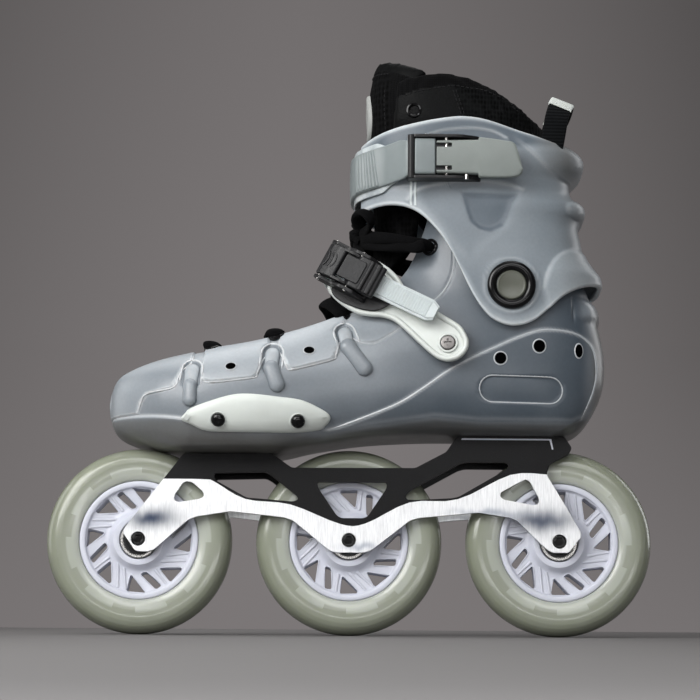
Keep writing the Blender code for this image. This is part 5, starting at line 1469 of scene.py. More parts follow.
# ================================================================ cuff pivots
for s, tag in ((-1, "outer"), (1, "inner")):
    seat, up = on_side(cuff_tree, PIVOT[0] + 1.2, PIVOT[1] + 1.0, s)
    seat = Vector((PIVOT[0], seat.y, PIVOT[1]))
    up = Vector((0, s, 0))
    o = turned("pivot_ring_" + tag, [(8.7, -2.0), (14.0, -2.0), (14.3, 0.2), (14.2, 1.0), (13.6, 1.9), (12.6, 2.5), (11.4, 2.7), (10.2, 2.4), (9.3, 1.7), (8.8, 0.9), (8.7, 0.4)], seat, up, 72, M["gloss"], closed=True, smooth=60)
    put(o, "boot", "cuff_pivot_" + tag, slot="black_plastic")
    o = turned("pivot_cap_%s_vis" % tag, [(0, -1.6), (8.65, -1.6), (8.65, 0.6), (8.3, 1.0), (7.8, 1.1), (7.4, 0.95), (7.0, 0.8), (0, 0.9)], seat, up, 64, M["cap"], smooth=40)
    put(o, "boot", "pivot_cap_" + tag, slot="cap")

# ================================================================ cuff buckle
PIN = (55.7, -57.6, 277.0)
bp = []
bp.append(plate("floor", fillet([(33.5, 264.9), (76, 264.9), (76, 289.3), (33.5, 289.3)], 0.8), along_y, -48.9, -50.5, M["black"], 0.3))
for z0, z1 in ((263.9, 265.8), (288.6, 290.5)):
    bp.append(plate("rail", fillet([(33.0, -49.2), (76.5, -49.2), (74.5, -53.2), (66, -58.3), (61, -59.4), (37.0, -59.4), (33.0, -57)], 1.4), up_z, z0, z1, M["black"], 0.35))
bp.append(plate("end", fillet([(33.0, -50.5), (36.9, -50.5), (36.9, -59.2), (34.6, -59.8), (33.0, -58.6)], 0.7), up_z, 264.2, 290.2, M["black"], 0.4))
o = join("cuff_buckle_body", bp)
put(o, "cuff", "cuff_buckle_base", slot="black_plastic")
blk = loft("cuff_buckle_block", [266.6, 267.0, 267.8, 270, 277, 284, 286.8, 287.6, 288.0], lambda z: [
    (x, y + (0.9 if z in (266.6, 288.0) else 0.35 if z in (267.0, 287.6) else 0.0) + 0.010 * (z - 277) ** 2 * 0.4, z) for x, y in
    fillet([(37.1, -51.5), (49.2, -51.5), (49.2, -59.2), (37.1, -59.5)], 0.9, 3)], M["strap_clear"], angle=50)
put(blk, "cuff", "cuff_buckle_base", slot="pale")
LEV = [(49.9, 267.6, 286.2), (50.4, 267.2, 286.6), (52, 267.1, 286.7), (60, 266.9, 286.9), (70, 266.7, 287.1), (74.2, 266.6, 287.2), (74.9, 264.9, 288.7), (76, 264.7, 288.8), (82, 264.6, 288.2), (88, 264.7, 287.4),
       (93, 264.9, 286.8), (95.0, 265.2, 286.3), (96.4, 265.5, 284.9), (97.8, 265.9, 281.0), (99.2, 266.8, 276.0), (100.2, 268.2, 272.0), (100.6, 269.4, 270.4)]


def lever_section(st):
    x, z0, z1 = st
    top, bot = -60.0 + 0.0014 * max(0, x - 60) ** 2 * 0.9, -56.2 + (0.5 if x > 74.5 else 0)
    w, zc = z1 - z0, (z0 + z1) / 2
    e = min(1.4, w * 0.3)
    out = []
    for cz, cy, a0 in ((w / 2 - e, top + e, 0), (-w / 2 + e, top + e, 90)):
        for k in range(5):
            a = math.radians(a0 + 22.5 * k)
            out.append((x, cy - e * math.sin(a), zc + cz + e * math.cos(a)))
        if a0 == 0:
            for k in range(1, 10):
                f = k / 10
                out.append((x, top - 0.55 * (1 - (2 * f - 1) ** 2), zc + (w / 2 - e) * (1 - 2 * f)))
    out.append((x, bot, zc - w / 2))
    out.append((x, bot, zc + w / 2))
    return out


lev = loft("cuff_lever_vis", LEV, lever_section, M["lever"], angle=45, origin=PIN)
for z0, z1 in ((282.5, 285.2), (268.7, 271.4)):
    boolean(lev, prism("cut", fillet([(49.0, z0), (58.4, z0), (58.9, z0 + 0.4), (58.9, z1 - 0.4), (58.4, z1), (49.0, z1)], 0.4), along_y, -52, -63, None))
lev.data.shade_smooth()
lev.data.set_sharp_from_angle(angle=math.radians(45))
put(lev, "cuff_lever", "cuff_lever", slot="pale")
# dark floor of the slots, and the pin that shows in them
for z0, z1 in ((282.6, 285.4), (268.5, 271.3)):
    put(plate("slot_floor_%d" % z0, [(49.6, z0), (59.0, z0), (59.0, z1), (49.6, z1)], along_y, -56.0, -57.6, M["black"], 0.1), "cuff_lever", slot="black_plastic")
o = join("cuff_pins", [turned("pin", [(0, 264.3), (0.8, 264.3), (1.0, 264.6), (1.0, 289.8), (0.8, 290.1), (0, 290.1)], (PIN[0], PIN[1] - 0.3, 0), (0, 0, 1), 24, M["steel"]),
                       turned("pin", [(0, 263.4), (1.0, 263.4), (1.25, 263.7), (1.25, 266.6), (0, 266.6)], (67.6, -57.4, 0), (0, 0, 1), 24, M["steel"]),
                       turned("pin", [(0, 288.8), (0.8, 288.8), (0.9, 290.6), (0.6, 290.9), (0, 290.9)], (43.5, -57.4, 0), (0, 0, 1), 24, M["steel"])])
put(o, "cuff", "cuff_lever_pin", slot="steel")

STRAP_Z = [(0, 272.5), (20, 272.7), (33, 273.6), (46, 275.4), (60, 276.9), (75, 277.5)]


def cuff_at(phi_deg, z, off, s):
    x, y, zz = cuff_pts(np.array([math.radians(phi_deg)]), np.array([float(z)]), off)
    return (float(x[0]), s * abs(float(y[0])), float(z))


def strap_point(phi_deg, s, off=2.9, dz=0.0):
    return cuff_at(phi_deg, float(herm(STRAP_Z, np.array([float(phi_deg)]))[0]) + dz, off, s)


def strap2(name, points, n, wide, section, mat, angle=35):
    """Like strap, the section also reads the place on the path."""
    pts = smooth_path(points, n)
    verts, faces = [], []
    m = 0
    for k, p in enumerate(pts):
        t = (pts[min(k + 1, n - 1)] - pts[max(k - 1, 0)]).normalized()
        w_ = Vector(wide(k / (n - 1)))
        w_ = (w_ - t * w_.dot(t)).normalized()
        u = t.cross(w_).normalized()
        sec = section(k / (n - 1), p)
        m = len(sec)
        verts += [tuple(p + w_ * a + u * b) for a, b in sec]
    for k in range(n - 1):
        for i in range(m):
            j = (i + 1) % m
            faces.append((k * m + i, k * m + j, (k + 1) * m + j, (k + 1) * m + i))
    faces.append(tuple(range(m)))
    faces.append(tuple(reversed(range((n - 1) * m, n * m))))
    return to_object(name, verts, faces, mat, angle=angle)


def cuff_strap_section(f, p):
    w, t = 24.0, 2.4
    if p.x > 26 and p.y < -40:
        w = 24.0 - 2.6 * float(sstep(29, 34, p.x))
    rib = 0.0
    if p.y < -8 and 3.6 < p.x < 15.4:
        rib = 0.75 * abs(math.sin(math.pi * (p.x - 3.6) / 1.68)) ** 0.7
    sec = pill(w, t, 1.0, 3, 0.35)
    # outward is down in the strap's own section
    return [(a, -b - (rib if b > 0.3 and abs(a) < w / 2 - 0.8 else 0.0)) for a, b in sec]


path = [(47.5, -52.6, 277.2), (40, -52.7, 277.2), (33.0, -52.9, 277.2)] + [strap_point(a, -1) for a in (46, 34, 22, 10)] + [strap_point(0, -1)] + [strap_point(a, 1) for a in (10, 22, 34, 46, 58, 70)]
# width runs down so that the section's upper side faces outwards
o = strap2("cuff_strap_vis", path, 620, lambda f: (0, 0, 1), cuff_strap_section, M["strap_clear"], angle=50)
put(o, "cuff", "cuff_strap", slot="pale")
# thin clear pad under the strap, wider than it near the front
path = [strap_point(a, -1, 1.35) for a in (50, 40, 30, 20, 10)] + [strap_point(0, -1, 1.35)] + [strap_point(a, 1, 1.35) for a in (10, 20, 30, 40, 50)]
o = strap2("cuff_strap_pad", path, 120, lambda f: (0, 0, 1), lambda f, p: pill(22.0 + 9.0 * float(sstep(40, 14, p.x)) * float(sstep(0.0, 0.12, f)) * float(sstep(1.0, 0.88, f)), 1.1, 0.5, 2, 0.0), M["cuff_clear"], angle=50)
put(o, "cuff", slot="cuff")
sp = Vector(strap_point(63, 1))
along = (Vector(strap_point(68, 1)) - Vector(strap_point(58, 1))).normalized()
up = Vector((0, 0, 1)).cross(along)
up = -up if up.y < 0 else up
o = turned("cuff_strap_screw_vis", [(0, 1.0), (5.0, 1.0), (5.0, 2.0), (4.7, 2.7), (3.5, 3.6), (1.6, 4.0), (1.3, 3.2), (0, 3.2)], sp, up, 36, M["screw_grey"])
put(o, "cuff", "cuff_strap_screw", slot="steel")

for k, (xa, xb_) in enumerate(((34.7, 35.7), (37.2, 38.2))):
    vs_, fs_ = [], []
    for z in np.linspace(250.5, 266.5, 17):
        for x_, lift in ((xa - 0.35, -0.3), (xa, 0.32), (xb_, 0.32), (xb_ + 0.35, -0.3)):
            h, _n = on_side(cuff_tree, x_, float(z), -1)
            vs_.append((x_, h.y - lift, float(z)))
    for r_ in range(16):
        for c_ in range(3):
            fs_.append((r_ * 4 + c_, r_ * 4 + c_ + 1, r_ * 4 + c_ + 5, r_ * 4 + c_ + 4))
    put(to_object("cuff_seam_%d" % k, vs_, fs_, M["pale_clear"], angle=60), "cuff", slot="cuff")

# ================================================================ instep bracket, ratchet buckle, strap
O = Vector((2.0, -38.5, 209.0))
TILT_X, TILT_Z = 0.12, 0.107
NN = Vector((-TILT_X, -1.0, TILT_Z)).normalized()
E1 = Vector((0.886, -TILT_X * 0.886 - TILT_Z * 0.463, -0.463)).normalized()
E2 = NN.cross(E1).normalized()


def on_plane(x, z, w):
    y = O.y - TILT_X * (x - O.x) + TILT_Z * (z - O.z)
    return Vector((x, y, z)) + NN * w


def local(a, b, w):
    return O + E1 * a + E2 * b + NN * w


def across(u, v, w):
    return local(u, w, v)


def facing(u, v, w):
    return local(u, v, w)


BRACKET = [(58.3, 157), (63.5, 158.6), (67.8, 163), (69, 168), (67.7, 172.5), (63.5, 178.7), (52.2, 186.1), (33.9, 199.6), (28.5, 207.2), (23.7, 212.6), (18.1, 216.7), (12.8, 219.4), (7.4, 220.4),
           (1, 219.5), (-6, 214), (-12, 206.5), (-13.6, 202), (-11.4, 197.9), (-5.3, 192), (3.6, 186.5), (11.7, 184.7), (18.3, 184.1), (25.2, 181.7), (31.8, 176.3), (42.1, 166.1), (49.5, 159.6), (54, 157.4)]
ol = [(p.x, p.y) for p in rounded(BRACKET, 4)]
field = plate("field", inset(ol, 0.4), on_plane, -2.6, -0.9, M["pale"], 0.3)
verts, faces = [], []
prof = [(0.0, -2.4), (-0.25, -1.2), (0.0, 0.2), (0.55, 0.95), (1.3, 1.2), (2.1, 1.0), (2.8, 0.2), (3.2, -0.9)]
n = len(ol)
for d, h in prof:
    for x, z in inset(ol, d):
        verts.append(tuple(on_plane(x, z, h)))
for k in range(len(prof) - 1):
    for i in range(n):
        faces.append((k * n + i, k * n + (i + 1) % n, (k + 1) * n + (i + 1) % n, (k + 1) * n + i))
rim = to_object("rim", verts, faces, M["pale"], angle=60)
put(join("instep_bracket_vis", [field, rim]), "boot", "instep_bracket", slot="pale")
SCREW = (57.1, 167.8)
sc = turned("screw", [(0, -1.0), (4.4, -1.0), (4.4, 0.5), (4.1, 0.85), (3.6, 1.0), (0, 1.15)], on_plane(SCREW[0], SCREW[1], 0), NN, 48, M["screw_grey"])
c0 = on_plane(SCREW[0], SCREW[1], 0)
ux = Vector((1, 0, 0)) - NN * NN.x
ux.normalize()
uz = NN.cross(ux)
for a, b in ((0.55, 2.3), (2.3, 0.55)):
    boolean(sc, prism("cut", fillet([(-a, -b), (a, -b), (a, b), (-a, b)], 0.3), lambda u, v, w: c0 + ux * u + uz * v + NN * w, 0.1, 3.0, None))
edges(sc, 0.12, 1, 35)
put(sc, "boot", "instep_bracket_screw", slot="steel")
o = turned("bracket_seat", [(4.6, 0.2), (4.9, 0.5), (5.6, 0.4), (6.0, -0.4)], c0, NN, 48, M["pale"])
put(o, "boot", slot="pale")
PAD = [(-11, 199), (-6, 193.5), (4, 189), (14, 187.2), (22, 190), (26, 195), (25, 202), (19, 210.5), (12, 215), (4, 215.5), (-4, 212), (-9.5, 205)]
put(plate("buckle_pad_vis", [(p.x, p.y) for p in rounded(PAD, 4)], on_plane, 0.4, 2.2, M["black"], 0.5), "boot", "buckle_pad", slot="black_plastic")

body = [plate("bed", fillet([(-7, 2.7), (13.2, 2.7), (13.2, 4.3), (-7, 4.3)], 0.4), across, -11.6, 11.6, M["black"], 0.3)]
for b0, b1 in ((-12.6, -10.5), (10.5, 12.6)):
    body.append(plate("cheek", fillet([(-17, 2.4), (13.6, 2.4), (12.6, 6.5), (6.4, 12.6), (-2.5, 13.0), (-8, 10.0), (-16, 11.0), (-20.0, 8.0)], 1.2), across, b0, b1, M["black"], 0.4))
put(join("ratchet_frame", body), "boot", "ratchet_body", slot="black_plastic")
for nm, node, c in (("ratchet_pin_vis", "ratchet_pin", local(1.5, 0, 11.0)), ("trigger_pin_vis", "trigger_pin", local(-16.6, 0, 8.2))):
    o = turned(nm, [(0, -13.1), (0.9, -13.1), (1.2, -12.8), (1.2, 12.8), (0.9, 13.1), (0, 13.1)], c, E2, 20, M["steel"])
    put(o, "boot", node, slot="steel")
# lever: a stepped block under the fingers
lv = [plate("lever", fillet([(-1.4, 12.0), (1.5, 8.4), (8, 8.6), (17.4, 9.3), (18.8, 11.4), (18.0, 13.2), (8, 15.2), (2.4, 15.2)], 1.0), across, -9.9, 9.9, M["black"], 0.7, segments=3)]
lv.append(plate("panel", fillet([(-6.2, -7.2), (6.6, -7.2), (7.6, -6.2), (7.6, 6.2), (6.6, 7.2), (-6.2, 7.2)], 1.2), facing, 13.8, 15.9, M["black"], 0.6, segments=3))
for a0, a1, w0 in ((8.8, 11.2, 15.5), (13.0, 16.0, 14.6)):
    lv.append(plate("step", fillet([(a0 - 0.5, w0 - 2.5), (a1 + 0.5, w0 - 2.5), (a1, w0 + 0.1), (a1 - 0.8, w0 + 0.55), (a0 + 0.6, w0 + 0.65), (a0, w0 + 0.2)], 0.4), across, -9.4, 9.4, M["black"], 0.5, segments=3))
lv = origin_to(join("ratchet_lever_vis", lv), local(1.5, 0, 11.0))
put(lv, "ratchet_lever", "ratchet_lever", slot="black_plastic")
tr = [plate("trigger", fillet([(-18.8, 7.2), (-16.6, 6.4), (-9, 8.6), (-7.2, 9.2), (-6.8, 13.0), (-8.0, 14.6), (-12, 14.3), (-17.2, 12.2), (-19.4, 9.8)], 1.1), across, -10.0, 10.0, M["black"], 0.8, segments=3)]
for bb in (-9.9, 8.2):
    tr.append(plate("arm", fillet([(-9.5, 9.5), (-2.4, 10.6), (1.2, 12.6), (1.0, 14.4), (-3.0, 15.2), (-9.5, 14.8)], 0.8), across, bb, bb + 1.7, M["black"], 0.45))
for k, a in enumerate((-16.0, -13.6, -11.2)):
    w0 = 12.75 + 0.62 * k
    tr.append(tube("grip", [local(a - 0.9, -4.6, w0 - 0.25), local(a, -2.4, w0 + 0.1), local(a + 0.35, 0, w0 + 0.2), local(a, 2.4, w0 + 0.1), local(a - 0.9, 4.6, w0 - 0.25)], 0.62, M["black"], n=22, sides=10))
tr = origin_to(join("release_trigger_vis", tr), local(-16.6, 0, 8.2))
put(tr, "release_trigger", "release_trigger", slot="black_plastic")

near_run = [local(56.0, 0, 7.6), local(36.0, 0, 6.5), local(14.0, 0, 6.1), local(0, 0, 6.1), local(-10.0, 0, 6.1)]
over = [(-12.5, -25.0, 219.0), (-14.5, -12.0, 223.0), (-15.0, 0.0, 224.0), (-14.0, 13.0, 222.0), (-9.0, 26.0, 216.0), (0.0, 37.5, 207.5), (14.0, 43.5, 197.5), (34.0, 47.2, 184.5), (46.0, 48.4, 177.0)]
PATH_LEN = [0.0]
pp = smooth_path(near_run + over, 700)
for a, b in zip(pp, pp[1:]):
    PATH_LEN.append(PATH_LEN[-1] + (b - a).length)


def ladder(f, p):
    """Flat strap with a toothed middle, chamfered at its free end."""
    d = PATH_LEN[min(int(round(f * 699)), 699)]
    w = 13.4 * (0.66 + 0.34 * min(1.0, d / 4.6))
    tooth = (d % 1.75) / 1.75
    rise = (0.25 + 0.55 * tooth) if 5.0 < d < 118 else 0.4
    side = w / 2
    mid_ = min(4.9, side - 1.3)
    return [(side, -0.7), (side, 0.3), (side - 0.5, 0.6), (mid_ + 0.5, 0.6), (mid_, 0.9 + rise), (mid_ * 0.5, 1.0 + rise), (0, 1.0 + rise), (-mid_ * 0.5, 1.0 + rise), (-mid_, 0.9 + rise), (-mid_ - 0.5, 0.6), (-side + 0.5, 0.6), (-side, 0.3), (-side, -0.7), (-side + 0.4, -1.1), (side - 0.4, -1.1)]


def ladder_wide(f):
    k = float(sstep(0.30, 0.50, f))
    return E2 * (1 - k) + Vector((0.50, 0.0, 0.866)) * k


o = strap2("instep_strap_vis", near_run + over, 700, ladder_wide, lambda f, p: [(a, -b) for a, b in ladder(f, p)], M["pale_clear"], angle=40)
put(o, "boot", "instep_strap", slot="pale")
o = turned("instep_strap_screw_vis", [(0, 1.0), (5.0, 1.0), (5.0, 1.7), (4.7, 2.5), (3.4, 3.5), (1.7, 3.7), (1.4, 3.0), (0, 3.0)], (42.0, 48.2, 179.4), (0, 1, 0), 36, M["screw_grey"])
put(o, "boot", "instep_strap_screw", slot="steel")

# ================================================================ liner, collar, tongue
LEG = [(222, 64.0, 2, -3, 0), (240, 53.0, 2, -3, 0), (256, 39.5, 2, -3, 0), (270, 28.5, 2, -3, 0), (284, 25.0, 2, -3, 0), (300, 24.0, 3, -6, 5), (313.0, 26.5, 9, -8, 17.5)]


def leg_grid(nu, nv, off):
    A = cat_rows(LEG, np.linspace(0, len(LEG) - 1, nu))
    G = np.zeros((nu, nv, 3))
    for i, (z, front, zf, zb_, bulge) in enumerate(A):
        xf, xb, h = CUFF_FRONT + 4.6 - off, float(herm(CUFF_BACK_L, np.array([z]))[0]) - 4.9 + off, float(herm(CUFF_H, np.array([z]))[0]) - 4.9 + off
        a0 = math.acos(np.clip(1 - 2 * (front - xf) / (xb - xf), -1, 1))
        ph = a0 + (2 * math.pi - 2 * a0) * np.linspace(0, 1, nv)
        x, y, zz = ring_points((xf, z + zf), (xb, z + zb_), h, ph, 0.62, 0.55, bulge)
        G[i, :, 0], G[i, :, 1], G[i, :, 2] = x, y, zz
    return G


CUFF_BACK_L = [(176, 152), (205, 150), (213, 147.5), (225, 140.5), (240, 137), (258, 133.5), (275, 131.5), (288, 129), (297, 123.8), (330, 118)]


def grid_solid(name, G, nrm, t, mat, pinch=0.45):
    """Closed pad from a grid: the grid and a copy t below it, joined round the rim."""
    nu, nv = G.shape[:2]
    ease = np.ones((nu, nv))
    V = np.concatenate([(G - nrm * 0.0 * ease[..., None]).reshape(-1, 3), (G - nrm * t).reshape(-1, 3)])
    idx = np.arange(nu * nv).reshape(nu, nv)
    a, b, c, d = idx[:-1, :-1].ravel(), idx[1:, :-1].ravel(), idx[1:, 1:].ravel(), idx[:-1, 1:].ravel()
    F = [np.stack([a, b, c, d], 1), np.stack([a, d, c, b], 1) + nu * nv]
    loop = np.concatenate([idx[0, :], idx[1:, -1], idx[-1, -2::-1], idx[-2:0:-1, 0]])
    nxt = np.roll(loop, -1)
    F.append(np.stack([loop, nxt, nxt + nu * nv, loop + nu * nv], 1))
    return to_object(name, V, np.concatenate(F), mat)


def remesh(ob, size):
    m = ob.modifiers.new("remesh", "REMESH")
    m.mode = "VOXEL"
    m.voxel_size = size * MM
    apply_mods(ob)
    ob.data.shade_smooth()
    return ob


def puff(ob, frames=20, pressure=4.0, cap=2.0, hold=None):
    """Cloth under inner pressure; no point moves further than cap millimetres (a number or a reading of the rest points)."""
    rest = np.array([v.co for v in ob.data.vertices])
    m = ob.modifiers.new("cloth", "CLOTH")
    s = m.settings
    s.quality = 5
    s.mass = 0.25
    s.tension_stiffness = 12
    s.compression_stiffness = 12
    s.shear_stiffness = 8
    s.bending_stiffness = 0.8
    s.use_pressure = True
    s.uniform_pressure_force = pressure
    s.effector_weights.gravity = 0
    m.collision_settings.use_collision = False
    m.collision_settings.use_self_collision = False
    sc = bpy.context.scene
    m.point_cache.frame_start, m.point_cache.frame_end = 1, frames
    for f in range(1, frames + 1):
        sc.frame_set(f)
    apply_mods(ob)
    sc.frame_set(1)
    co = np.array([v.co for v in ob.data.vertices])
    if len(co) == len(rest):
        lim = (cap(rest / MM) if callable(cap) else np.full(len(rest), cap)) * MM
        d = co - rest
        L = np.linalg.norm(d, axis=1)
        f = np.minimum(1.0, lim / np.maximum(L, 1e-9))
        co = rest + d * f[:, None]
        ob.data.vertices.foreach_set("co", co.ravel())
        ob.data.update()
    m = ob.modifiers.new("sub", "SUBSURF")
    m.levels = 1
    m.render_levels = 1
    apply_mods(ob)
    ob.data.shade_smooth()
    return ob


def paint(ob, mats, pick):
    """Gives each face one of several materials by the place of its middle (millimetres) and its normal."""
    me = ob.data
    me.materials.clear()
    for m in mats:
        me.materials.append(m)
    n = len(me.polygons)
    c = np.zeros(n * 3)
    me.polygons.foreach_get("center", c)
    nr = np.zeros(n * 3)
    me.polygons.foreach_get("normal", nr)
    c = c.reshape(-1, 3) / MM + np.array(ob.location) / MM
    me.polygons.foreach_set("material_index", pick(c, nr.reshape(-1, 3)).astype(np.int32))
    return ob


# the thin part of the liner inside the shell
G, _ = shell_grid(70, 72, LINER_ROWS)
GN = grid_normals(G)
if GN[35, 18, 1] > 0:
    GN = -GN
foot = wall("liner_foot", G - GN * 4.4, GN, np.zeros(G.shape[:2]), 4.8, M["lining"], ends=(False, True), sides=True, closed_rows=shell_grid(70, 72, LINER_ROWS)[1] <= 0.01)
put(foot, "boot", "liner", slot="liner")

# padded collar
G = leg_grid(46, 120, -1.2)
GN = grid_normals(G)
if GN[20, 30, 1] > 0:
    GN = -GN
COLLAR_TOP = G[-1].copy()
collar = grid_solid("liner_collar", G, GN, 6.2, M["knit"])
remesh(collar, 2.3)
puff(collar, cap=lambda p: 0.5 + 2.2 * sstep(292, 306, p[:, 2] + 0.10 * (p[:, 0] - 40)))


def collar_pick(c, nr):
    """0 knit, 1 smooth panel, 2 binding."""
    top = np.interp(c[:, 0], [23, 40, 60, 80, 100, 118], [322.0, 327.0, 330.0, 327.5, 319.0, 306.0])
    rim_ = c[:, 2] > top - 5.5
    seam_x = 60.5 + (c[:, 2] - 322) * -0.33
    return np.where(rim_, 2, np.where(c[:, 0] < seam_x, 1, 0))


paint(collar, [M["knit"], M["panel"], M["binding"]], collar_pick)
collar_tree = surface(collar)


def stitches(name, pts, length=1.7, gap=1.0, r=0.28, mat=None):
    """Thread dashes along a smooth path laid on a surface."""
    mat = mat or M["stitch"]
    path_ = smooth_path(pts, 400)
    acc, run, on = 0.0, [path_[0]], True
    obs = []
    for a, b in zip(path_, path_[1:]):
        acc += (b - a).length
        run.append(b)
        if acc >= (length if on else gap):
            if on and len(run) > 1:
                obs.append(tube("st", [run[0], run[len(run) // 2], run[-1]], r, mat, n=5, sides=6))
            acc, run, on = 0.0, [b], not on
    return join(name, obs)


def on_collar(x, z, s, lift=0.15):
    h = collar_tree.ray_cast(Vector((x, s * 120.0, z)), Vector((0, -s, 0)))
    if h[0] is None:
        h = collar_tree.find_nearest(Vector((x, s * 42.0, z)))
    return Vector((h[0].x, h[0].y + s * lift, h[0].z))


bits = []
for s, tag in ((-1, "outer"), (1, "inner")):
    for dx in (-0.9, 0.9):
        bits.append(stitches("seam", [on_collar(60.5 + (z - 322) * -0.33 + dx, z, s) for z in (321, 316, 311, 306, 301)]))
    bits.append(stitches("seam", [on_collar(x, float(np.interp(x, [23, 40, 60, 80, 100, 118], [322.0, 327.0, 330.0, 327.5, 319.0, 306.0])) - 6.3, s) for x in (31, 38, 46, 54, 62, 70, 78, 86, 94, 102, 109)]))
st = join("collar_stitching", bits)
for s, tag in ((-1, "outer"), (1, "inner")):
    c = on_collar(36.8, 308.8, s, 0.0)
    h = collar_tree.ray_cast(Vector((36.8, s * 120.0, 308.8)), Vector((0, -s, 0)))
    up = h[1] if h[0] is not None else Vector((0, s, 0))
    up = -up if up.y * s < 0 else up
    up = (up + Vector((0, s, 0))).normalized()
    e = turned("collar_eyelet_" + tag, [(0, -0.2), (2.7, -0.2), (2.9, 0.9), (3.5, 1.35), (4.3, 1.1), (4.6, 0.3), (4.6, -0.4)], c, up, 40, M["gloss"])
    put(e, "cuff", slot="black_screw")

# padded tongue
TONGUE_PATH = [(-74, 0, 162.0), (-55, 0, 166.5), (-37, 0, 171.5), (-18, 0, 180.0), (-2, 0, 191.5), (9.5, 0, 206.0), (15.0, 0, 222.0), (16.3, 0, 242.0), (15.2, 0, 268.0), (13.8, 0, 298.0), (13.0, 0, 320.0), (15.2, 0, 335.0), (20.5, 0, 344.5)]
TONGUE_HALF = [(0.0, 11), (0.15, 18), (0.3, 20), (0.42, 18), (0.47, 16.5), (0.58, 16.5), (0.64, 20), (0.72, 27), (0.92, 28.5), (1.0, 26)]
pts = smooth_path(TONGUE_PATH, 64)
mid_rows = []
for k, p in enumerate(pts):
    f = k / 63
    t = (pts[min(k + 1, 63)] - pts[max(k - 1, 0)]).normalized()
    out = Vector((-t.z, 0, t.x)).normalized()
    up_ = float(sstep(0.42, 0.62, f))
    out = (out * (1 - 0.8 * up_) + Vector((-1, 0, 0)) * 0.8 * up_).normalized()
    hw = float(np.interp(f, [r[0] for r in TONGUE_HALF], [r[1] for r in TONGUE_HALF]))
    wrap = 5.0 + 20.0 * up_
    span = 0.55 + 0.85 * up_
    row_ = []
    for g in np.linspace(-1, 1, 37):
        an = g * span
        q = p + Vector((0, hw * math.sin(an) / math.sin(span) + float(sway(p.x)), 0))
        back = wrap * (1 - math.cos(an)) / (1 - math.cos(span))
        # the wings fall away from the crest of the tongue
        drop = 7.5 * abs(g) ** 1.8 * float(sstep(0.86, 1.0, f))
        row_.append(tuple(q - out * back - Vector((0, 0, drop))))
    mid_rows.append(row_)
GM = np.array(mid_rows)
GN = grid_normals(GM)
if GN[40, 18, 0] > 0:
    GN = -GN
fr = np.linspace(0, 1, 64)[:, None, None]
gr = np.abs(np.linspace(-1, 1, 37))[None, :, None]
thick_ = 5.2 + 3.6 * sstep(0.90, 0.97, fr) - 1.2 * gr ** 6
rows_o, rows_i = GM + GN * thick_ * 0.5, GM - GN * thick_ * 0.5
GO, GI = np.array(rows_o), np.array(rows_i)
nu, nv = GO.shape[:2]
idx = np.arange(nu * nv).reshape(nu, nv)
a, b, c, d = idx[:-1, :-1].ravel(), idx[1:, :-1].ravel(), idx[1:, 1:].ravel(), idx[:-1, 1:].ravel()
loop = np.concatenate([idx[0, :], idx[1:, -1], idx[-1, -2::-1], idx[-2:0:-1, 0]])
nxt = np.roll(loop, -1)
tongue = to_object("tongue_pad", np.concatenate([GO.reshape(-1, 3), GI.reshape(-1, 3)]),
                   np.concatenate([np.stack([a, b, c, d], 1), np.stack([a, d, c, b], 1) + nu * nv, np.stack([loop, nxt, nxt + nu * nv, loop + nu * nv], 1)]), M["tongue_knit"])
remesh(tongue, 1.9)
puff(tongue, cap=lambda p: 0.5 + 1.1 * sstep(275, 310, p[:, 2]) + 1.2 * sstep(333, 341, p[:, 2]))


def tongue_pick(c, nr):
    top = 347.5 - 9.0 * sstep(12, 42, c[:, 0])
    return np.where(c[:, 2] > top - 8.0, 1, np.where((np.abs(c[:, 1] - sway(c[:, 0])) > 24.5) & (c[:, 2] > 250), 2, 0))


paint(tongue, [M["tongue_knit"], M["panel"], M["binding"]], tongue_pick)
tongue_tree = surface(tongue)


def on_tongue(y, z, lift=0.2):
    h = tongue_tree.ray_cast(Vector((-200.0, y, z)), Vector((1, 0, 0)))
    return Vector(((h[0].x if h[0] is not None else 14.0) - lift, y, z))


bits = [stitches("seam", [on_tongue(y, 337.5 - 2.0 * (y / 24.0) ** 2) for y in (-22, -17, -12, -7, 0, 7, 12, 17, 22)])]
for s in (-1, 1):
    bits.append(stitches("seam", [on_tongue(s * 21.5, z) for z in (326, 316, 306, 296, 286, 276, 266, 256)]))
tst = join("tongue_stitching", bits)
# plain oval rubber badge on the front of the tongue
verts, faces = [], []
nn_ = 44
for d_, h_ in ((1.02, -0.6), (1.0, 1.0), (0.95, 1.9), (0.86, 2.3), (0.82, 1.7), (0.5, 1.9), (0.0, 2.1)):
    for k in range(nn_):
        aa = 2 * math.pi * k / nn_
        y, z = 10.0 * d_ * math.cos(aa), 312.5 + 14.5 * d_ * math.sin(aa)
        verts.append(tuple(on_tongue(y, z, h_ * 0.8 + 0.2)))
for k in range(6):
    for i in range(nn_):
        faces.append((k * nn_ + i, k * nn_ + (i + 1) % nn_, (k + 1) * nn_ + (i + 1) % nn_, (k + 1) * nn_ + i))
badge = to_object("tongue_badge", verts, faces, M["badge"], merge=0.01, angle=50)

for o, nodes, sl in ((collar, ["liner"], "liner"), (st, [], "liner"), (tongue, ["tongue"], "liner"), (tst, [], "liner"), (badge, [], "pale")):
    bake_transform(o)
    if nodes:
        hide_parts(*nodes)

# insole
ins_v, ins_f = [], []
IN = 72
ring_ = []
for k in range(IN):
    a = 2 * math.pi * k / IN
    x = 2.0 + 115.0 * math.cos(a)
    hw = float(herm([(-125, 20), (-105, 26), (-60, 30), (-10, 26), (40, 24), (90, 23), (128, 18)], np.array([x]))[0])
    ring_.append((x, hw * math.copysign(abs(math.sin(a)) ** 0.6, math.sin(a))))


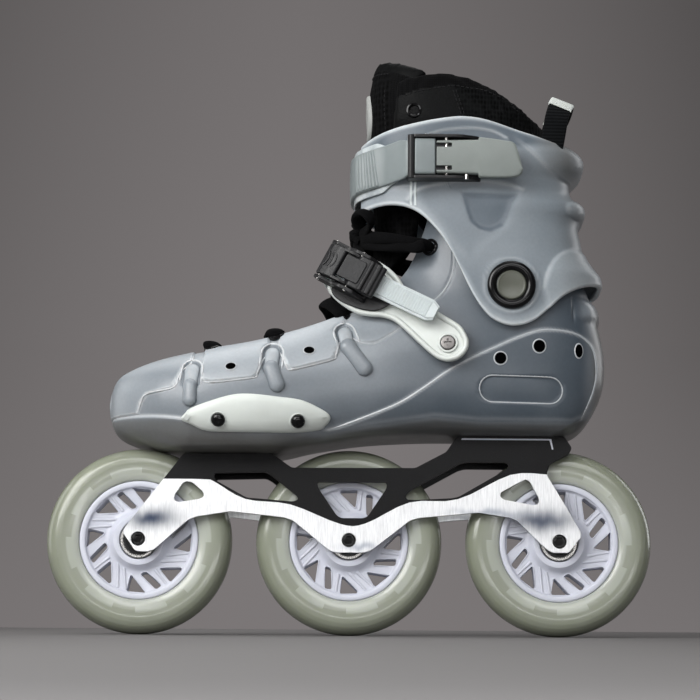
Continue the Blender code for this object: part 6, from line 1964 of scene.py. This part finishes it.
def sole_line(x):
    return float(herm([(-130, 125.0), (-95, 120.5), (-46, 118.5), (0, 126.5), (48, 130.5), (125, 130.5)], np.array([x]))[0])


levels = [(0.97, 0.2), (1.0, 0.9), (1.0, 2.2), (0.97, 3.1), (0.9, 3.3), (0.6, 3.0), (0.3, 2.9), (0.02, 2.9)]
for f, h in levels:
    for x, y in ring_:
        xx, yy = 2.0 + (x - 2.0) * f, y * f
        ins_v.append((xx, yy + float(sway(xx)), sole_line(xx) + h))
for k in range(len(levels) - 1):
    for i in range(IN):
        ins_f.append((k * IN + i, k * IN + (i + 1) % IN, (k + 1) * IN + (i + 1) % IN, (k + 1) * IN + i))
ins_f.append(tuple(range(IN)))
put(to_object("insole_vis", ins_v, ins_f, M["insole"], angle=50), "boot", "insole", slot="insole")

# pull loop behind the cuff, with a pale patch over its crown
LD = Vector((0.93, 0, -0.37)).normalized()
ARCH = [(120.5, -34.0, 298.0), (122.0, -32.0, 306.5), (124.5, -25.5, 315.0), (126.7, -13.5, 319.3), (127.2, 0, 320.3), (126.7, 13.5, 319.3), (124.5, 25.5, 315.0), (122.0, 32.0, 306.5), (120.5, 34.0, 298.0)]
low = [(117.6, -36.0, 284.0), (119.2, -35.4, 291.0)]
ARCH2 = low + ARCH + [(x, -y, z) for x, y, z in reversed(low)]
loop_o = strap2("pull_loop_vis", ARCH2, 260, lambda f: LD, lambda f, p: pill(14.0, 2.3, 1.1, 3, 0.15), M["webbing"], angle=60)
put(loop_o, "cuff", "pull_loop", slot="webbing")
patch = strap2("pull_loop_patch", [(124.2, -27.8, 314.6), (126.7, -13.5, 320.6), (127.2, 0, 321.8), (126.7, 13.5, 320.6), (124.2, 27.8, 314.6)], 90, lambda f: LD, lambda f, p: pill(14.6, 2.4, 1.1, 3, 0.3), M["pale"], angle=60)
put(patch, "cuff", slot="pale")

# ================================================================ eyelets and lace
EYELETS = [(-80.0, 165.0), (-43.0, 172.5), (-5.0, 186.0), (44.5, 229.0)]
site = {}
for i, (ex, ez) in enumerate(EYELETS):
    for s in (-1, 1):
        near = base_tree.find_nearest(Vector((ex, s * (25.0 if i < 3 else 33.0) + float(sway(ex)), ez)))
        loc, nor = near[0], near[1]
        if nor.y * s < 0 and abs(nor.y) > 0.2:
            nor = -nor
        if nor.z < -0.2:
            nor = -nor
        site[(i, s)] = (loc.copy(), nor.copy())
        k = 1.12 if i == 3 else 1.0
        lift = 1.5 if i < 2 else 0.2
        prof = [(0, -0.5), (2.9, -0.5), (3.0, 0.5), (3.4, 1.15), (4.0, 1.25), (4.6, 0.75), (4.75, 0.0), (4.75, -0.8)]
        o = turned("eyelet_vis_%d_%s" % (i + 1, "outer" if s < 0 else "inner"), [(r * k, h + lift) for r, h in prof], loc, nor, 40, M["gloss"])
        # painted shade: a dark disc in the hole of each eyelet
        put(turned("eyelet_hollow_%d_%s" % (i + 1, "outer" if s < 0 else "inner"), [(0, -0.2 + lift), (2.95 * k, -0.2 + lift), (2.95 * k, -0.6 + lift)], loc, nor, 32, M["void"]), "boot", slot="black_plastic")
        if i >= 2:
            put(o, "boot", "eyelet_%d_%s" % (i + 1, "outer" if s < 0 else "inner"), slot="black_screw")
        else:
            put(o, "boot", slot="black_screw")


def lace_tube(name, pts, wide=3.3, thick=1.55, n=None, seed=0.0, taper=True, flat=None):
    """Flat woven lace: an oval section that rolls and swells a little along its way."""
    n = n or 26 * len(pts)
    ps = smooth_path(pts, n)
    verts, faces = [], []
    prev = None
    sides = 16
    for k, p in enumerate(ps):
        f = k / (n - 1)
        t = (ps[min(k + 1, n - 1)] - ps[max(k - 1, 0)]).normalized()
        a = t.orthogonal().normalized() if prev is None else (prev - t * prev.dot(t)).normalized()
        if flat is not None:
            a = (Vector(flat) - t * Vector(flat).dot(t)).normalized()
        prev = a
        b = t.cross(a)
        roll = 0.25 * math.sin(6.0 * f + seed) if flat is not None else 0.5 * math.sin(5.0 * f + seed) + seed
        ca, sa = math.cos(roll), math.sin(roll)
        w_ = wide * (1 + 0.10 * math.sin(17 * f + 2 * seed)) * (0.55 + 0.45 * min(1.0, 6 * f, 6 * (1 - f)) if taper else 1.0)
        t_ = thick * (1 + 0.14 * math.sin(23 * f + seed))
        for i in range(sides):
            an = 2 * math.pi * i / sides
            u, v = w_ * math.cos(an), t_ * math.sin(an)
            verts.append(tuple(p + a * (u * ca - v * sa) + b * (u * sa + v * ca)))
    for k in range(n - 1):
        for i in range(sides):
            faces.append((k * sides + i, k * sides + (i + 1) % sides, (k + 1) * sides + (i + 1) % sides, (k + 1) * sides + i))
    faces.append(tuple(range(sides)))
    faces.append(tuple(reversed(range((n - 1) * sides, n * sides))))
    return to_object(name, verts, faces, M["lace"], angle=60)


def row(name, i, over, **kw):
    (pa, na), (pb, nb) = site[(i, -1)], site[(i, 1)]
    go = [Vector((x, -y + float(sway(x)), z)) for x, y, z in over]
    back = [Vector((x, y + float(sway(x)), z)) for x, y, z in reversed(over[:-1])]
    lf = 1.2 if i < 2 else 0.0
    pts_ = [pa - na * 1.0, pa + na * (1.4 + lf), pa + na * (2.6 + lf) + (go[0] - pa).normalized() * 3.0] + go
    pts_ += back + [pb + nb * (2.6 + lf) + (back[-1] - pb).normalized() * 3.0, pb + nb * (1.4 + lf), pb - nb * 1.0]
    return lace_tube(name, pts_, **kw)


put(row("lace_vis_1", 0, [(-81.0, 14, 170.2), (-81.4, 0, 170.8)], wide=5.2, thick=1.7, seed=0.2, flat=(1, 0, 0.12)), "boot", "lace_row_1", slot="webbing")
put(row("lace_vis_2", 1, [(-45.0, 16, 178.2), (-46.0, 0, 179.0)], wide=5.6, thick=1.9, seed=0.3, flat=(1, 0, 0.25)), "boot", "lace_row_2", slot="webbing")
lay = [row("l", 2, [(-12.0, 16, 197.0), (-14.5, 0, 199.0)], wide=5.2, thick=2.4, seed=0.4, flat=(1, 0, 0.55))]
# the crossings that run on up from the third eyelet
for s in (-1, 1):
    lay.append(lace_tube("l", [(-6, s * 24, 190), (-10, s * 17, 199), (-8, s * 6, 205), (-3, -s * 4, 208), (2, -s * 14, 210), (8, -s * 22, 212)], 3.4, 1.7, seed=1.0 + s))
put(join("lace_vis_3", lay), "boot", "lace_row_3", slot="webbing")
lay = [row("l", 3, [(34.0, 34.5, 230.5), (21.0, 29.0, 233.5), (9.5, 15.0, 236.5), (6.4, 0.0, 238.0)], wide=3.8, thick=2.2, seed=0.1)]
for s in (-1, 1):
    lay.append(lace_tube("l", [(43.0, s * 37.5, 228.2), (37.0, s * 37.6, 226.5), (26.0, s * 32.5, 227.5), (14.0, s * 20.0, 231.0), (8.0, s * 9.0, 234.0), (7.0, 0.0, 236.5)], 3.8, 2.3, seed=0.6 + s, taper=False))
    # bow loops and ends
    lay.append(lace_tube("l", [(7.0, 0.0, 240.0), (4.6, s * 9.0, 246.0), (4.2, s * 19.0, 250.0), (8.5, s * 27.0, 249.5), (12.0, s * 25.5, 244.5), (9.0, s * 15.0, 240.5), (6.2, s * 3.0, 239.0)], 3.9, 2.0, seed=0.9 * s, taper=False))
    lay.append(lace_tube("l", [(6.0, 0.0, 238.0), (4.2, s * 6.0, 233.0), (5.6, s * 13.0, 228.0), (9.5, s * 19.0, 222.5), (13.0, s * 22.0, 216.0), (15.5, s * 21.0, 210.0)], 3.3, 1.8, seed=1.4 * s))
    lay.append(lace_tube("l", [(6.5, s * 2.0, 242.0), (5.0, s * 8.0, 249.0), (6.0, s * 13.0, 253.5), (9.5, s * 15.0, 256.0)], 3.3, 1.9, seed=0.4 * s))
# the knot itself
lay.append(lace_tube("l", [(6.5, -6.0, 235.0), (3.0, -3.5, 238.5), (2.4, 0.5, 241.5), (4.5, 4.5, 243.5), (8.5, 4.0, 241.0)], 3.8, 2.6, seed=0.5, taper=False))
lay.append(lace_tube("l", [(8.0, 5.5, 235.0), (4.0, 4.0, 236.0), (2.6, 0.0, 237.5), (3.6, -4.0, 241.0), (7.5, -6.0, 243.5)], 3.6, 2.4, seed=1.5, taper=False))
put(join("lace_vis_4", lay), "boot", "lace_row_4", slot="webbing")

# ================================================================ camera, light, floor
EPS, FPX, ROLL = math.radians(9.3), 3371.0, math.radians(0.42)
cam = bpy.data.cameras.new("camera")
cam.sensor_width = 36
cam.lens = 36 * FPX / 700
cam.clip_start, cam.clip_end = 0.05, 50
co = bpy.data.objects.new("camera", cam)
bpy.context.scene.collection.objects.link(co)
cf = Vector((0, math.cos(EPS), math.sin(EPS)))
cu0, cr0 = Vector((0, -math.sin(EPS), math.cos(EPS))), Vector((1, 0, 0))
cr = cr0 * math.cos(ROLL) + cu0 * math.sin(ROLL)
cu = cu0 * math.cos(ROLL) - cr0 * math.sin(ROLL)
C = Vector((-0.1, -1992.2, -155.1)) * MM
co.matrix_world = Matrix(((cr.x, cu.x, -cf.x, C.x), (cr.y, cu.y, -cf.y, C.y), (cr.z, cu.z, -cf.z, C.z), (0, 0, 0, 1)))
bpy.context.scene.camera = co

# pale floor, tipped a little towards the camera so that the low camera looks along it
TIP = math.tan(math.radians(5.0))
fw, near, far = 3.0, -2.6, 0.45
floor_me = bpy.data.meshes.new("floor")
floor_me.from_pydata([(-fw, near, near * TIP), (fw, near, near * TIP), (fw, far, far * TIP), (-fw, far, far * TIP)], [], [(0, 1, 2, 3)])
floor = bpy.data.objects.new("floor", floor_me)
bpy.context.scene.collection.objects.link(floor)
fm, nt, b = material("floor_paper", (0.16, 0.155, 0.154), 0.8, Specular_IOR_Level=0.15)
sp_ = nt.nodes.new("ShaderNodeSeparateXYZ")
nt.links.new(coords(nt), sp_.inputs[0])
# painted pool of light: the floor is paler in the middle and darker towards the sides
fx_ = math_node(nt, "MULTIPLY", math_node(nt, "SUBTRACT", sp_.outputs["X"], -0.03), 3.2)
spread = math_node(nt, "MULTIPLY", fx_, fx_)
paper_and_light_pool = ramp(nt, spread, [(0.0, (0.165, 0.160, 0.159)), (0.5, (0.125, 0.120, 0.119)), (1.0, (0.115, 0.110, 0.109))])
paper_and_light_pool = mix(nt, 0.10, paper_and_light_pool, ramp(nt, noise(nt, 5, 3.0), [(0.3, grey(0.8)), (0.7, grey(1.0))]), "MULTIPLY")
nt.links.new(paper_and_light_pool, b.inputs["Base Color"])
floor_me.materials.append(fm)
floor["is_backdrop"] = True


def area(name, loc, target, size, power, color=(1, 1, 1), size_y=None):
    l = bpy.data.lights.new(name, "AREA")
    l.shape = "RECTANGLE"
    l.size = size
    l.size_y = size_y or size
    l.energy = power
    l.color = color
    o = bpy.data.objects.new(name, l)
    bpy.context.scene.collection.objects.link(o)
    o.location = loc
    o.rotation_euler = (Vector(target) - Vector(loc)).to_track_quat("-Z", "Y").to_euler()
    return o


area("key", (-0.80, -0.95, 0.72), (-0.03, 0, 0.15), 0.85, 19, (1.0, 0.995, 0.985))
area("front", (0.25, -2.1, 1.30), (0.02, 0, 0.12), 1.4, 15, (0.985, 0.99, 1.0), 0.8)
area("low", (0.1, -1.5, 0.03), (0.0, 0, 0.10), 1.2, 3.0, (0.99, 0.99, 1.0), 0.12)
area("top", (0.0, 0.15, 1.5), (-0.02, 0, 0.2), 1.1, 9)
area("rim_right", (1.3, 0.75, 0.75), (0.05, 0, 0.18), 0.7, 6.5, (0.97, 0.98, 1.0), 1.2)
area("rim_left", (-1.4, 0.45, 0.55), (-0.05, 0, 0.15), 0.7, 4, (1, 1, 1), 1.2)
w = bpy.data.worlds.new("studio")
bpy.context.scene.world = w
w.use_nodes = True
wt = w.node_tree
sep = wt.nodes.new("ShaderNodeSeparateXYZ")
wt.links.new(wt.nodes.new("ShaderNodeTexCoord").outputs["Generated"], sep.inputs[0])
dx = math_node(wt, "ABSOLUTE", math_node(wt, "MULTIPLY", math_node(wt, "ADD", sep.outputs["X"], 0.016), 10.0))
hz = wt.nodes.new("ShaderNodeMapRange")
hz.inputs["From Min"].default_value, hz.inputs["From Max"].default_value = 0.07, 0.16
hz.inputs["To Min"].default_value, hz.inputs["To Max"].default_value = 0.010, 0.056
wt.links.new(sep.outputs["Z"], hz.inputs["Value"])
tz_ = wt.nodes.new("ShaderNodeMapRange")
tz_.inputs["From Min"].default_value, tz_.inputs["From Max"].default_value = 0.165, 0.26
tz_.inputs["To Min"].default_value, tz_.inputs["To Max"].default_value = 0.0, 0.030
wt.links.new(sep.outputs["Z"], tz_.inputs["Value"])
drop_ = math_node(wt, "ADD", math_node(wt, "MULTIPLY", math_node(wt, "POWER", math_node(wt, "MINIMUM", dx, 1.4), 1.5), hz.outputs["Result"]), tz_.outputs["Result"])
lum = math_node(wt, "SUBTRACT", 0.184, drop_)
cmb = wt.nodes.new("ShaderNodeCombineXYZ")
for i_, k_ in enumerate((1.08, 1.0, 1.0)):
    wt.links.new(math_node(wt, "MULTIPLY", lum, k_), cmb.inputs[i_])
wt.links.new(cmb.outputs[0], wt.nodes["Background"].inputs["Color"])
wt.nodes["Background"].inputs["Strength"].default_value = 1.0
bpy.context.scene.view_settings.view_transform = "Standard"

b0, b1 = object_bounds()
